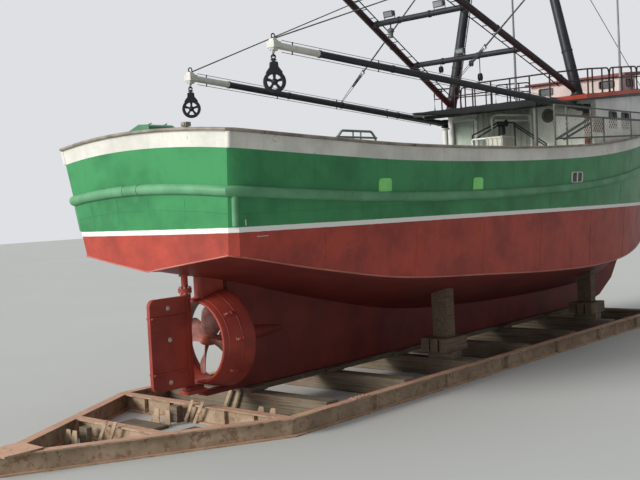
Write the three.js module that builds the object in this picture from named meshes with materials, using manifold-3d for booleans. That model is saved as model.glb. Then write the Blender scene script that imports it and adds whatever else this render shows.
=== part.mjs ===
// A steel hard-chine fishing trawler with a ducted propeller, hauled out on its slipway cradle.
// Millimetres. +X is starboard, +Y is the bow, +Z is up, and Z 0 is the floor under the cradle.
// Lengths along the boat are counted from the transom's rail, and the whole group is moved
// back, so that the part's origin lies on the floor under the middle of the whole length.
import * as THREE from "three";
import { mergeVertices } from "three/addons/utils/BufferGeometryUtils.js";
import Module from "manifold-3d";

const wasm = await Module();
wasm.setup();

// Driving dimensions
const LENGTH = 22500; // transom rail to stem head
const ORIGIN_FROM_TRANSOM = 9730; // middle of the whole length, cradle nose included
const GAP = 0.3; // left between two pieces that touch
const KEEL_BOTTOM = 470;
const KEEL_THICK = 220;
const BULWARK_HIGH = 950; // deck edge to rail
const BULWARK_THICK = 60;
const CAMBER = 0.053; // rise of the deck and the transom's rail at the centreline, by half breadth
const TRANSOM_BULGE = 150; // how much further aft the transom is on the centreline
const RUB_RAIL_RADIUS = 95;
const CAP_WIDE = 130;
const CAP_HIGH = 60;
const SHAFT_HIGH = 1490; // propeller shaft above the floor
const PROP_AT = 1400;
const PROP_RADIUS = 690;
const RUDDER_AXIS = 900;
const RUDDER = { aft: 30, fore: 980, low: 715, high: 2360, corner: 130, thick: 150 };
const HOUSE = { aft: 13300, wall: 60, half: 2300 };
const BOAT_DECK = { aft: 10900, fore: 19300, half: 2420, aftHalf: 1850, thick: 110, low: 6111, rise: 0.096 };
const MAST = { at: 12970, foot: 1950, low: 6484, head: 470, top: 13300, radius: 145, topRadius: 90 };
const GALLOWS = { end: 5400, foot: 6514, inward: 0.128, rise: 0.417, radius: 84, bar: 72 };
const OUTRIGGER = { x: 2200, y: 12970, z: 6040, radius: 84, tipRadius: 64, boss: 105, clear: 6 };
const CRADLE = { nose: -3040, base: 1150, half: 2270, high: 330, flange: 190, web: 24, fore: 17600 };

// Colours
const paint = (color, roughness = 0.55, metalness = 0.1) =>
  new THREE.MeshStandardMaterial({ color, roughness, metalness });
const PAINT = {
  topside: paint(0x3f8f5f),
  antifouling: paint(0xb04a3c),
  white: paint(0xdcdcd6),
  rail: paint(0x8d8a80),
  house: paint(0xb9beb2),
  deckRed: paint(0xc4533a),
  black: paint(0x2b2d30),
  green: paint(0x3d7a58),
  bronze: paint(0x8a5a3c, 0.35, 0.8),
  steel: paint(0x6f7069, 0.6, 0.5),
  rust: paint(0x8b6d55, 0.85, 0.2),
  timber: paint(0x7a6656, 0.9, 0),
  wire: paint(0x4a4a4a, 0.5, 0.7),
};

// Solids: every helper gives a manifold solid, and node() makes it a named mesh.
function solid(geometry) {
  const bare = geometry.index ? geometry.clone() : geometry;
  for (const name of Object.keys(bare.attributes)) if (name !== "position") bare.deleteAttribute(name);
  const merged = mergeVertices(bare, 1e-3);
  const made = new wasm.Manifold(
    new wasm.Mesh({
      numProp: 3,
      vertProperties: new Float32Array(merged.attributes.position.array),
      triVerts: new Uint32Array(merged.index.array),
    }),
  );
  if (made.volume() >= 0) return made;
  const turned = new Uint32Array(merged.index.array);
  for (let i = 0; i < turned.length; i += 3) [turned[i + 1], turned[i + 2]] = [turned[i + 2], turned[i + 1]];
  return new wasm.Manifold(
    new wasm.Mesh({
      numProp: 3,
      vertProperties: new Float32Array(merged.attributes.position.array),
      triVerts: turned,
    }),
  );
}

function geometryOf(body) {
  const mesh = body.getMesh();
  const position = new Float32Array(mesh.numVert * 3);
  for (let i = 0; i < mesh.numVert; i++)
    position.set(mesh.vertProperties.subarray(i * mesh.numProp, i * mesh.numProp + 3), i * 3);
  const geometry = new THREE.BufferGeometry();
  geometry.setAttribute("position", new THREE.BufferAttribute(position, 3));
  geometry.setIndex(new THREE.BufferAttribute(new Uint32Array(mesh.triVerts), 1));
  return geometry;
}

// The largest of a solid's separate bodies, without the slivers that a cut has left.
const largest = (body) => body.decompose().sort((a, b) => b.volume() - a.volume())[0];
const join = (...solids) => solids.reduce((a, b) => a.add(b));
const cut = (body, ...tools) => tools.reduce((a, b) => a.subtract(b), body);
const placed = (body, matrix) => solid(geometryOf(body).applyMatrix4(matrix));
const moved = (body, x, y, z) => placed(body, new THREE.Matrix4().makeTranslation(x, y, z));
const mirrored = (body) => placed(body, new THREE.Matrix4().makeScale(-1, 1, 1));
const degrees = THREE.MathUtils.degToRad;

function block(x0, x1, y0, y1, z0, z1) {
  const geometry = new THREE.BoxGeometry(x1 - x0, y1 - y0, z1 - z0);
  geometry.translate((x0 + x1) / 2, (y0 + y1) / 2, (z0 + z1) / 2);
  return solid(geometry);
}

// A round bar, or a cone, between two points.
function bar(from, to, radius, sides = 10, radiusEnd = radius) {
  const a = new THREE.Vector3(...from);
  const b = new THREE.Vector3(...to);
  const along = b.clone().sub(a);
  const geometry = new THREE.CylinderGeometry(radiusEnd, radius, along.length(), sides);
  geometry.translate(0, along.length() / 2, 0);
  geometry.applyQuaternion(
    new THREE.Quaternion().setFromUnitVectors(new THREE.Vector3(0, 1, 0), along.normalize()),
  );
  geometry.translate(a.x, a.y, a.z);
  return solid(geometry);
}

// A flat outline, [across, up] pairs, made thick along one axis: "x" (outline in Y, Z),
// "y" (outline in X, Z) or "z" (outline in X, Y).
function plate(outline, axis, from, to) {
  const drawn = outline instanceof THREE.Shape;
  const shape = drawn ? outline : new THREE.Shape(outline.map(([u, v]) => new THREE.Vector2(u, v)));
  const options = { depth: to - from, bevelEnabled: false, curveSegments: 6 };
  const geometry = new THREE.ExtrudeGeometry(shape, options);
  geometry.translate(0, 0, from);
  const turn = new THREE.Matrix4();
  if (axis === "x") turn.set(0, 0, 1, 0, 1, 0, 0, 0, 0, 1, 0, 0, 0, 0, 0, 1);
  if (axis === "y") turn.set(1, 0, 0, 0, 0, 0, 1, 0, 0, 1, 0, 0, 0, 0, 0, 1);
  geometry.applyMatrix4(turn);
  return solid(geometry);
}

// A ring of points carried from one place to the next. Each ring is a list of [x, y, z]. An
// end is closed by a fan from the ring's first point, or by the faces that cap lists. A
// twisted four-sided face is split along its shorter diagonal, which keeps both sides alike.
function loft(rings, closed = false, cap = null) {
  const count = rings[0].length;
  const position = rings.flat(2);
  const index = [];
  const apart = (i, j) => Math.hypot(...[0, 1, 2].map((k) => position[3 * i + k] - position[3 * j + k]));
  const spans = closed ? rings.length : rings.length - 1;
  for (let i = 0; i < spans; i++)
    for (let j = 0; j < count; j++) {
      const a = i * count + j;
      const b = i * count + ((j + 1) % count);
      const c = ((i + 1) % rings.length) * count + j;
      const d = ((i + 1) % rings.length) * count + ((j + 1) % count);
      if (apart(a, d) < apart(b, c) + 1e-6) index.push(a, b, d, a, d, c);
      else index.push(a, b, c, b, d, c);
    }
  const faces = cap ?? Array.from({ length: count - 2 }, (_, j) => [0, j + 1, j + 2]);
  if (!closed)
    for (const [first, flip] of [[0, true], [(rings.length - 1) * count, false]])
      for (const [a, b, c] of faces) index.push(first + a, first + (flip ? c : b), first + (flip ? b : c));
  const geometry = new THREE.BufferGeometry();
  geometry.setAttribute("position", new THREE.BufferAttribute(new Float32Array(position), 3));
  geometry.setIndex(index);
  return solid(geometry);
}

// A closed profile turned about the shaft line, given as [radius, along] pairs.
function turned(profile, sides, x, z) {
  const geometry = new THREE.LatheGeometry(profile.map(([r, y]) => new THREE.Vector2(r, y)), sides);
  geometry.translate(x, 0, z);
  return solid(geometry);
}

const root = new THREE.Group();
root.position.y = -ORIGIN_FROM_TRANSOM;

function node(name, body, material) {
  const geometry = geometryOf(body);
  geometry.computeVertexNormals();
  const made = new THREE.Mesh(geometry, material);
  made.name = name;
  root.add(made);
  return body;
}

// Hull lines. Columns: station from the transom, rail half breadth and height, chine half
// breadth and height, height of the bottom at the keel, how far aft (-) or forward (+) of the
// station the chine and the keel points lie, and how hollow the side is between chine and rail.
const LINES = [
  [0, 2250, 5140, 1940, 3140, 2865, 200, 227, 0],
  [130, 2315, 5132, 2075, 3112, 2840, 200, 227, 0],
  [2000, 2530, 5020, 2310, 2770, 2500, 60, 20, 0],
  [4200, 2700, 4920, 2480, 2440, 1960, 0, 0, 0],
  [7000, 2820, 4895, 2610, 2250, 1400, 0, 0, 0],
  [10000, 2870, 4940, 2640, 2080, 1180, 0, 0, 0],
  [12500, 2870, 5050, 2580, 2020, 1100, 0, 0, 20],
  [15000, 2720, 5290, 2280, 2110, 1080, 0, 0, 60],
  [17500, 2320, 5690, 1680, 2420, 1150, -100, -300, 120],
  [19500, 1720, 6130, 980, 2960, 1450, -350, -900, 140],
  [21200, 950, 6580, 400, 3750, 2000, -700, -1900, 100],
  [LENGTH, 90, 6950, 60, 4500, 2700, -1000, -2700, 10],
];
const [STATION, RAIL_HALF, RAIL_HIGH, CHINE_HALF, CHINE_HIGH, KEEL_HIGH, CHINE_SHIFT, KEEL_SHIFT, HOLLOW] =
  LINES[0].keys();

// A smooth value of one column at a station, by cubic Hermite pieces.
function line(column, s) {
  const last = LINES.length - 1;
  let i = 0;
  while (i < last - 1 && LINES[i + 1][STATION] < s) i++;
  const slope = (k) => {
    const before = LINES[Math.max(k - 1, 0)];
    const after = LINES[Math.min(k + 1, last)];
    return (after[column] - before[column]) / (after[STATION] - before[STATION]);
  };
  const [a, b] = [LINES[i], LINES[i + 1]];
  const span = b[STATION] - a[STATION];
  const t = Math.min(Math.max((s - a[STATION]) / span, 0), 1);
  if (i === 0) return a[column] + (b[column] - a[column]) * t;
  const [t2, t3] = [t * t, t * t * t];
  return (
    a[column] * (2 * t3 - 3 * t2 + 1) + b[column] * (3 * t2 - 2 * t3) +
    span * (slope(i) * (t3 - 2 * t2 + t) + slope(i + 1) * (t3 - t2))
  );
}

const STATIONS = [
  0, 130, 600, 1200, 2000, 3000, 4200, 5600, 7000, 8500, 10000, 11300, 12500, 13750, 15000, 16250, 17500,
  18500, 19500, 20400, 21200, 21900, LENGTH,
];
const deckHigh = (s) => line(RAIL_HIGH, s) - BULWARK_HIGH;

// A point of the starboard side at a station and height, grown outward by a little.
function sidePoint(s, z, grow = 0) {
  const [high, low] = [line(RAIL_HIGH, s), line(CHINE_HIGH, s)];
  const t = (z - low) / (high - low);
  const straight = line(CHINE_HALF, s) + (line(RAIL_HALF, s) - line(CHINE_HALF, s)) * t;
  const half = straight - line(HOLLOW, s) * 4 * t * (1 - t);
  return [half + grow, s + line(CHINE_SHIFT, s) * (1 - t), z];
}

const port = ([x, y, z]) => [-x, y, z];
// A point of the arched deck, or of the transom, at a share of the way out from the centre.
function arched(edge, share, bulge) {
  const arch = 1 - share * share;
  return [edge[0] * share, edge[1] - bulge * arch, edge[2] + CAMBER * edge[0] * arch];
}
const transomBulge = (s) => (s < 100 ? TRANSOM_BULGE : 0);

// The hull up to its deck, as a solid: a vee bottom, hard chines, sides and an arched deck.
const HULL_CAP = [
  [0, 1, 5], [0, 5, 6], [1, 2, 3], [1, 3, 4], [1, 4, 5],
  [0, 7, 11], [0, 6, 7], [11, 9, 10], [11, 8, 9], [11, 7, 8],
];
function hullSolid(grow = 0) {
  return loft(
    STATIONS.map((s) => {
      const end = s === 0 ? -grow : s === LENGTH ? grow : 0;
      const bulge = transomBulge(s);
      const deck = deckHigh(s);
      const chine = [line(CHINE_HALF, s) + grow, s + line(CHINE_SHIFT, s) + end, line(CHINE_HIGH, s) - grow];
      const keel = [0, s + line(KEEL_SHIFT, s) + end - bulge, line(KEEL_HIGH, s) - grow];
      const bottom = [chine[0] / 2, (chine[1] + keel[1]) / 2 - bulge / 4, (chine[2] + keel[2]) / 2];
      const middle = sidePoint(s, (line(CHINE_HIGH, s) + deck) / 2, grow);
      const edge = sidePoint(s, deck, grow);
      middle[1] += end;
      edge[1] += end;
      edge[2] += grow;
      const [half, top] = [arched(edge, 0.5, bulge), arched(edge, 0, bulge)];
      return [
        keel, bottom, chine, middle, edge, half,
        top, port(half), port(edge), port(middle), port(chine), port(bottom),
      ];
    }),
    false,
    HULL_CAP,
  );
}

// The space between deck and rail, its sides a distance inboard of the plating.
const SPACE_CAP = [
  [0, 1, 4], [0, 4, 5], [1, 2, 3], [1, 3, 4],
  [0, 6, 9], [0, 5, 6], [9, 7, 8], [9, 6, 7],
];
function bulwarkSpace(inset, from, to, below, above) {
  const stations = [from, ...STATIONS.filter((s) => s > from + 50 && s < to - 50), to];
  return loft(
    stations.map((s) => {
      const low = sidePoint(s, deckHigh(s), -inset);
      const high = sidePoint(s, line(RAIL_HIGH, s), -inset);
      low[2] += below;
      high[2] += above;
      const bulge = transomBulge(s);
      const [lowHalf, lowTop] = [arched(low, 0.5, bulge), arched(low, 0, bulge)];
      const [highHalf, highTop] = [arched(high, 0.5, bulge), arched(high, 0, bulge)];
      return [
        lowTop, lowHalf, low, high, highHalf,
        highTop, port(highHalf), port(high), port(low), port(lowHalf),
      ];
    }),
    false,
    SPACE_CAP,
  );
}

// A bar of constant section carried right round the boat along a line on the plating.
function roundBoat(heightAt, section) {
  const starboard = STATIONS.slice(1).map((s) => sidePoint(s, heightAt(s)));
  const corner = sidePoint(0, heightAt(0));
  const transom = [-1, -0.5, 0, 0.5, 1].map((share) => arched(corner, share, TRANSOM_BULGE));
  const path = [...transom, ...starboard, ...starboard.slice().reverse().map(port)];
  const rings = path.map((p, i) => {
    const before = path[(i + path.length - 1) % path.length];
    const after = path[(i + 1) % path.length];
    const out = new THREE.Vector2(after[1] - before[1], before[0] - after[0]).normalize();
    return section.map(([outward, up]) => [p[0] + out.x * outward, p[1] + out.y * outward, p[2] + up]);
  });
  return loft(rings, true);
}

const hull = hullSolid();
const hullGrown = hullSolid(GAP);
const bulwark = cut(
  bulwarkSpace(0, 0, LENGTH, GAP, -GAP),
  bulwarkSpace(BULWARK_THICK, BULWARK_THICK, LENGTH - 700, -400, 400),
);
const bulwarkGrown = bulwarkSpace(-GAP, 0, LENGTH, 0, -GAP);

const circle = (radius, sides, turn = 0) =>
  Array.from({ length: sides }, (_, i) => {
    const a = (2 * Math.PI * (i + turn)) / sides;
    return [radius * Math.cos(a), radius * Math.sin(a)];
  });

const capSection = [
  [-CAP_WIDE / 2, 0], [CAP_WIDE / 2 - 20, 0], [CAP_WIDE / 2, CAP_HIGH * 0.4],
  [CAP_WIDE / 2 - 30, CAP_HIGH], [-CAP_WIDE / 2 + 30, CAP_HIGH], [-CAP_WIDE / 2, CAP_HIGH * 0.4],
];

node("hull", hull, PAINT.topside);
node("bulwark", bulwark, PAINT.white);
const capRail = cut(
  roundBoat((s) => line(RAIL_HIGH, s), capSection),
  ...[[-GAP, 0, 0], [GAP, 0, 0], [-GAP, 0, GAP], [GAP, 0, GAP], [0, GAP, 0], [0, GAP, GAP]]
    .map((step) => moved(bulwark, ...step)),
);
node("cap_rail", largest(capRail), PAINT.rail);
const rubRail = cut(
  roundBoat(deckHigh, circle(RUB_RAIL_RADIUS, 8, 0.5)),
  hullGrown, moved(hull, 0, GAP, 0), bulwarkGrown,
);
node("rub_rail", largest(rubRail), PAINT.topside);

// Keel, skeg and heel: one deep plate under the vee bottom, with the stern tube in its aft end
// and a shoe that runs aft under the nozzle to the rudder's heel.
const STERN_POST = 1850;
const keelOutline = [
  [STERN_POST, 3000], [STERN_POST, 560], [1150, 560], [1150, 700], [800, 700], [800, 610], [1060, 600],
  [1200, KEEL_BOTTOM], [16900, KEEL_BOTTOM], [17800, 640], [18700, 1100], [19300, 1750], [19850, 2650],
  [19700, 3000],
];
const sternTube = turned(
  [[0, STERN_POST - 60], [150, STERN_POST - 60], [190, 2300], [120, 3300], [0, 3300]], 12, 0, SHAFT_HIGH,
);
const shaftHole = turned([[0, 1700], [68, 1700], [68, 1960], [0, 1960]], 12, 0, SHAFT_HIGH);

// The nozzle: a thick ring, wide at its mouth, carried by a head box under the hull and the shoe.
const nozzleProfile = [
  [725, 1100], [752, 1090], [775, 1110], [860, 1420], [925, 1700], [915, 1745], [880, 1755], [800, 1680],
  [722, 1520], [715, 1400], [725, 1100],
];
const nozzleRing = turned(nozzleProfile, 32, 0, SHAFT_HIGH);
const nozzleBore = turned([[0, 1000], [717, 1000], [717, 1560], [860, 1800], [0, 1800]], 32, 0, SHAFT_HIGH);
const headBox = cut(block(-110, 110, 1180, 1760, SHAFT_HIGH + 700, 2800), nozzleBore);
const nozzle = cut(join(nozzleRing, headBox), hullGrown);
const outerFrom = 760; // radius from which the nozzle's profile is its outer face
const grownProfile = nozzleProfile.map(([r, y]) => [r + (r > outerFrom ? GAP * 2 : 0), y]);
const nozzleGrown = turned(grownProfile, 32, 0, SHAFT_HIGH);
const keel = cut(
  join(plate(keelOutline, "x", -KEEL_THICK / 2, KEEL_THICK / 2), sternTube),
  hullGrown, shaftHole, nozzleGrown, nozzleBore,
);
node("keel", keel, PAINT.antifouling);
node("nozzle", cut(nozzle, block(-400, 400, STERN_POST - 61, 2400, 0, 3000)), PAINT.antifouling);

// Propeller: four blades on a hub, each blade a twisted leaf from root to tip.
// Columns: radius, chord, thickness, pitch angle in degrees.
const BLADE = [
  [80, 260, 60, 62],
  [300, 400, 36, 42],
  [520, 470, 22, 30],
  [640, 380, 14, 25],
  [PROP_RADIUS, 160, 8, 23],
];
const bladeRings = BLADE.map(([radius, chord, thick, pitch]) => {
  const a = degrees(pitch);
  const leaf = [[-0.5, 0], [-0.2, -0.5], [0.25, -0.5], [0.5, 0], [0.25, 0.5], [-0.2, 0.5]];
  return leaf.map(([along, across]) => {
    const [u, v] = [along * chord, across * thick];
    return [u * Math.cos(a) - v * Math.sin(a), u * Math.sin(a) + v * Math.cos(a), radius];
  });
});
const blade = loft(bladeRings);
const hub = turned(
  [[0, PROP_AT - 190], [60, PROP_AT - 160], [105, PROP_AT - 60], [120, PROP_AT + 110], [60, PROP_AT + 130],
    [60, STERN_POST + 60], [0, STERN_POST + 60]], 16, 0, 0,
);
const propeller = join(
  hub,
  ...[20, 110, 200, 290].map((a) =>
    placed(moved(blade, 0, PROP_AT + 10, 0), new THREE.Matrix4().makeRotationY(degrees(a)))),
);
node("propeller", moved(propeller, 0, 0, SHAFT_HIGH), PAINT.bronze);

// Rudder: a plate with a blunt aft edge, two stiffening bars a side, stock and bolted coupling.
function roundedOutline(y0, y1, z0, z1, radius) {
  const shape = new THREE.Shape();
  shape.moveTo(y1, z0);
  shape.lineTo(y1, z1);
  shape.lineTo(y0 + radius, z1);
  shape.absarc(y0 + radius, z1 - radius, radius, Math.PI / 2, Math.PI, false);
  shape.lineTo(y0, z0 + radius);
  shape.absarc(y0 + radius, z0 + radius, radius, Math.PI, 1.5 * Math.PI, false);
  return shape;
}
const { aft: rudderAft, fore: rudderFore, low: rudderLow, high: rudderHigh } = RUDDER;
const rudderPlan = [
  [-40, rudderAft - 5], [40, rudderAft - 5], [70, 500], [RUDDER.thick / 2, 800], [45, rudderFore],
  [-45, rudderFore], [-RUDDER.thick / 2, 800], [-70, 500],
];
const rudderBlade = plate(
  roundedOutline(rudderAft, rudderFore, rudderLow, rudderHigh, RUDDER.corner), "x", -200, 200,
).intersect(plate(rudderPlan, "z", 0, 3000));
const rudderBars = [1010, 2030].map((z) => block(-86, 86, rudderAft + 25, rudderFore - 60, z - 18, z + 18));
const rudder = join(
  rudderBlade, ...rudderBars,
  bar([0, RUDDER_AXIS, rudderHigh - 20], [0, RUDDER_AXIS, 2715], 62, 12),
  bar([0, RUDDER_AXIS, 2420], [0, RUDDER_AXIS, 2500], 125, 12),
);
node("rudder", cut(rudder, moved(hull, 0, 0, -6)), PAINT.antifouling);

// Deckhouse: a hollow steel house on the deck, narrowing forward, under the boat deck.
const housePlan = (inset) => {
  const half = HOUSE.half - inset;
  return [
    [-half, HOUSE.aft + inset], [half, HOUSE.aft + inset], [half, 15300], [1750 - inset, 17600],
    [1300 - inset, 18500 - inset], [inset - 1300, 18500 - inset], [inset - 1750, 17600], [-half, 15300],
  ];
};
const boatDeckLow = (y) => BOAT_DECK.low + BOAT_DECK.rise * (y - BOAT_DECK.aft);
// A sloped slab between two heights above the boat deck's underside.
function deckSlab(outline, low, high) {
  const lean = new THREE.Matrix4().makeShear(0, 0, 0, BOAT_DECK.rise, 0, 0);
  const shape = new THREE.Shape(outline.map(([x, y]) => new THREE.Vector2(x, y - BOAT_DECK.aft)));
  const geometry = new THREE.ExtrudeGeometry(shape, { depth: high - low, bevelEnabled: false });
  geometry.translate(0, 0, low);
  geometry.applyMatrix4(lean);
  geometry.translate(0, BOAT_DECK.aft, BOAT_DECK.low);
  return solid(geometry);
}
const doorway = { port: -2090, starboard: -1440, sill: 4560, head: 6060 };
const sideWindows = [14300, 15100];
const windowCuts = [
  plate([[doorway.port, doorway.sill], [doorway.starboard, doorway.sill], [doorway.starboard, doorway.head],
    [doorway.port, doorway.head]], "y", HOUSE.aft - 100, HOUSE.aft + 200),
  bar([920, HOUSE.aft - 100, 5990], [920, HOUSE.aft + 200, 5990], 150, 16),
  ...sideWindows.map((y) => block(-2600, 2600, y - 220, y + 220, 5560, 6000)),
];
const houseWalls = cut(
  deckSlab(housePlan(0), -2600, -GAP),
  deckSlab(housePlan(HOUSE.wall), -2700, 400),
  hullGrown, ...windowCuts,
);
node("deckhouse_walls", houseWalls, PAINT.house);

const boatDeckStarboard = [
  [BOAT_DECK.aftHalf, BOAT_DECK.aft], [BOAT_DECK.aftHalf, 12000], [BOAT_DECK.half, 12550],
  [BOAT_DECK.half, 15600], [1950, 17900], [1500, BOAT_DECK.fore],
];
const boatDeckPlan = [...boatDeckStarboard, ...boatDeckStarboard.map(([x, y]) => [-x, y]).reverse()];
const PILOT = { aft: 16900, half: 1500, high: 450, wall: 60 };
const pilotPlan = (inset) => [
  [inset - PILOT.half, PILOT.aft + inset], [PILOT.half - inset, PILOT.aft + inset],
  [PILOT.half - inset, 17800], [1150 - inset, 18450 - inset],
  [inset - 1150, 18450 - inset], [inset - PILOT.half, 17800],
];
const boatDeck = cut(
  deckSlab(boatDeckPlan, 0, BOAT_DECK.thick),
  deckSlab(pilotPlan(PILOT.wall), -50, 300),
);
node("boat_deck", boatDeck, PAINT.deckRed);
const pilotTop = BOAT_DECK.thick + PILOT.high;
const pilotWindows = [
  ...[-1000, 1000].map((x) => block(x - 230, x + 230, PILOT.aft - 80, PILOT.aft + 150, 6930, 7150)),
  block(-1700, 1700, 17150, 17600, 6960, 7180),
  ...[-620, 0, 620].map((x) => block(x - 250, x + 250, 18300, 18600, 7060, 7290)),
];
node(
  "wheelhouse_walls",
  cut(
    deckSlab(pilotPlan(0), BOAT_DECK.thick + GAP, pilotTop),
    deckSlab(pilotPlan(PILOT.wall), 0, 1500),
    ...pilotWindows,
  ),
  PAINT.white,
);
const pilotRoofPlan = [
  [-1650, PILOT.aft - 150], [1650, PILOT.aft - 150], [1650, 17900],
  [1300, 18750], [-1300, 18750], [-1650, 17900],
];
node("wheelhouse_roof", deckSlab(pilotRoofPlan, pilotTop + GAP, pilotTop + 90), PAINT.deckRed);

// Aft door, closed in its opening, on a hinge barrel proud of the wall at its starboard edge.
const DOOR_CLEAR = 8;
const DOOR_HINGE = { x: doorway.starboard, y: HOUSE.aft - 22, radius: 16 };
const door = join(
  block(doorway.port + DOOR_CLEAR, doorway.starboard - DOOR_CLEAR, HOUSE.aft - 5, HOUSE.aft + 35,
    doorway.sill + DOOR_CLEAR, doorway.head - DOOR_CLEAR),
  block(doorway.starboard - 60, doorway.starboard - 4, DOOR_HINGE.y - 8, HOUSE.aft,
    doorway.sill + 80, doorway.head - 80),
  bar([DOOR_HINGE.x, DOOR_HINGE.y, doorway.sill + 60], [DOOR_HINGE.x, DOOR_HINGE.y, doorway.head - 60],
    DOOR_HINGE.radius, 8),
);
node("deckhouse_door", door, PAINT.house);

// Mast: two legs that lean together, a cross tree and a head bar.
const mastX = (z) => MAST.foot + ((MAST.head - MAST.foot) * (z - MAST.low)) / (MAST.top - MAST.low);
const mastFootHigh = boatDeckLow(MAST.at) + BOAT_DECK.thick + 30;
const boatDeckTop = deckSlab(boatDeckPlan, -200, BOAT_DECK.thick + GAP);
const mastBar = (low, high, radius, radiusHigh) =>
  bar([mastX(low), MAST.at, low], [mastX(high), MAST.at, high], radius, 14, radiusHigh);
// Each leg carries an arm whose tip lies over the outrigger's pin, for the spar's topping lifts.
const ARM = { high: 10700, radius: 60, drop: 900, brace: 38 };
const armTip = [OUTRIGGER.x, MAST.at, ARM.high];
const arm = join(
  bar([mastX(ARM.high), MAST.at, ARM.high], [armTip[0] + 90, MAST.at, ARM.high], ARM.radius, 12),
  bar([mastX(ARM.high - ARM.drop), MAST.at, ARM.high - ARM.drop], armTip, ARM.brace, 8),
);
const mastLeg = cut(
  join(mastBar(mastFootHigh - 200, MAST.top, MAST.radius, MAST.topRadius), arm),
  boatDeckTop, block(-1000, 1000, MAST.at - 300, MAST.at + 300, MAST.top, MAST.top + 200),
);
node("mast_leg_starboard", mastLeg, PAINT.black);
node("mast_leg_port", mirrored(mastLeg), PAINT.black);
const mastClear = mastBar(6000, 14000, MAST.radius + 4 + GAP, MAST.topRadius - 5 + GAP);
const crossTreeHigh = ARM.high;
node(
  "mast_cross_tree",
  cut(
    bar([-1900, MAST.at, crossTreeHigh], [1900, MAST.at, crossTreeHigh], 70, 10),
    mastClear, mirrored(mastClear),
  )
    .decompose()
    .find((piece) => Math.abs(piece.boundingBox().max[0] + piece.boundingBox().min[0]) < 1),
  PAINT.black,
);
const headBlock = (grow) => block(
  -620 - grow, 620 + grow, MAST.at - 110 - grow, MAST.at + 110 + grow,
  MAST.top + GAP - grow, MAST.top + 130 + grow,
);
node(
  "mast_head",
  join(headBlock(0), bar([0, MAST.at, MAST.top + 100], [0, MAST.at, MAST.top + 900], 40, 8)),
  PAINT.black,
);

// Gallows: two raked legs from the mast feet, with two cross bars and a head bar over the deck.
const gallowsX = (y) => MAST.foot - GALLOWS.inward * (MAST.at - y);
const gallowsZ = (y) => GALLOWS.foot + GALLOWS.rise * (MAST.at - y);
const gallowsPoint = (side, y) => [side * gallowsX(y), y, gallowsZ(y)];
const gallowsLeg = (grow = 0) =>
  bar(gallowsPoint(1, MAST.at - 60), gallowsPoint(1, GALLOWS.end), GALLOWS.radius + grow, 12);
const gallowsHead = (grow = 0) => {
  const half = gallowsX(GALLOWS.end) + 170 + grow;
  const z = gallowsZ(GALLOWS.end);
  return bar([-half, GALLOWS.end, z], [half, GALLOWS.end, z], GALLOWS.bar + grow, 12);
};
const mastLegGrown = mastBar(6000, MAST.top, MAST.radius + 3, MAST.topRadius + 3);
const leg = largest(cut(gallowsLeg(), mastLegGrown, gallowsHead(GAP), boatDeckTop));
node("gallows_leg_starboard", leg, PAINT.black);
node("gallows_leg_port", mirrored(leg), PAINT.black);
const legsGrown = [gallowsLeg(GAP), mirrored(gallowsLeg(GAP))];
for (const [name, y] of [["gallows_bar_low", 10680], ["gallows_bar_high", 8680]])
  node(
    name,
    largest(cut(bar(gallowsPoint(-1, y), gallowsPoint(1, y), GALLOWS.bar, 12), ...legsGrown)),
    PAINT.black,
  );
node("gallows_head_bar", gallowsHead(), PAINT.black);

// Main stays: the forestay, and two from the mast's head down to the gallows' head.
const STAY_RADIUS = 11;
const stemHead = line(RAIL_HIGH, LENGTH) + CAP_HIGH + 8;
const stemBlock = block(-200, 200, LENGTH - 700, LENGTH + 400, 4000, stemHead);
const stay = (from, to) =>
  largest(cut(bar(from, to, STAY_RADIUS, 6), headBlock(GAP), gallowsHead(GAP), stemBlock));
node("forestay", stay([0, MAST.at + 60, MAST.top + 70], [0, LENGTH - 60, stemHead - 30]), PAINT.wire);
for (const [side, name] of [[1, "starboard"], [-1, "port"]])
  node(
    `gallows_stay_${name}`,
    stay([side * 500, MAST.at - 60, MAST.top + 60], [side * 620, GALLOWS.end, gallowsZ(GALLOWS.end)]),
    PAINT.wire,
  );

// Outriggers: long spars stowed pointing aft, each on a gooseneck pin at the top of a stanchion,
// with a snatch block hung under its tip. The port one is stowed lower.
const OUTRIGGERS = [
  { name: "starboard", side: 1, tip: [1200, 2340, 6860] },
  { name: "port", side: -1, tip: [-1200, 2420, 6550] },
];
const BLOCK = { drop: 520, cheek: 210, thick: 90, yaw: -38 }; // yaw: the block has twisted on its shank
function outrigger({ side, tip }) {
  const heel = [side * OUTRIGGER.x, OUTRIGGER.y, OUTRIGGER.z];
  const [x, y, z] = tip;
  return join(
    bar(heel, tip, OUTRIGGER.radius, 12, OUTRIGGER.tipRadius),
    bar([heel[0], heel[1], heel[2] - 120], [heel[0], heel[1], heel[2] + 120], OUTRIGGER.boss, 12),
    block(x - 95, x + 95, y - 130, y + 70, z - 60, z + 60),
    block(x - 16, x + 16, y - 95, y - 25, z - 150, z - 50),
  );
}
function stanchion({ side }) {
  const [x, y, top] = [side * OUTRIGGER.x, OUTRIGGER.y, OUTRIGGER.z - 120 - OUTRIGGER.clear];
  return cut(join(
    bar([x, y, 3900], [x, y, top], 80, 12),
    bar([x, y, top - 40], [x, y, top], 130, 12),
    bar([x, y, 3900], [x, y, 4260], 110, 12),
  ), hullGrown);
}
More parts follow.
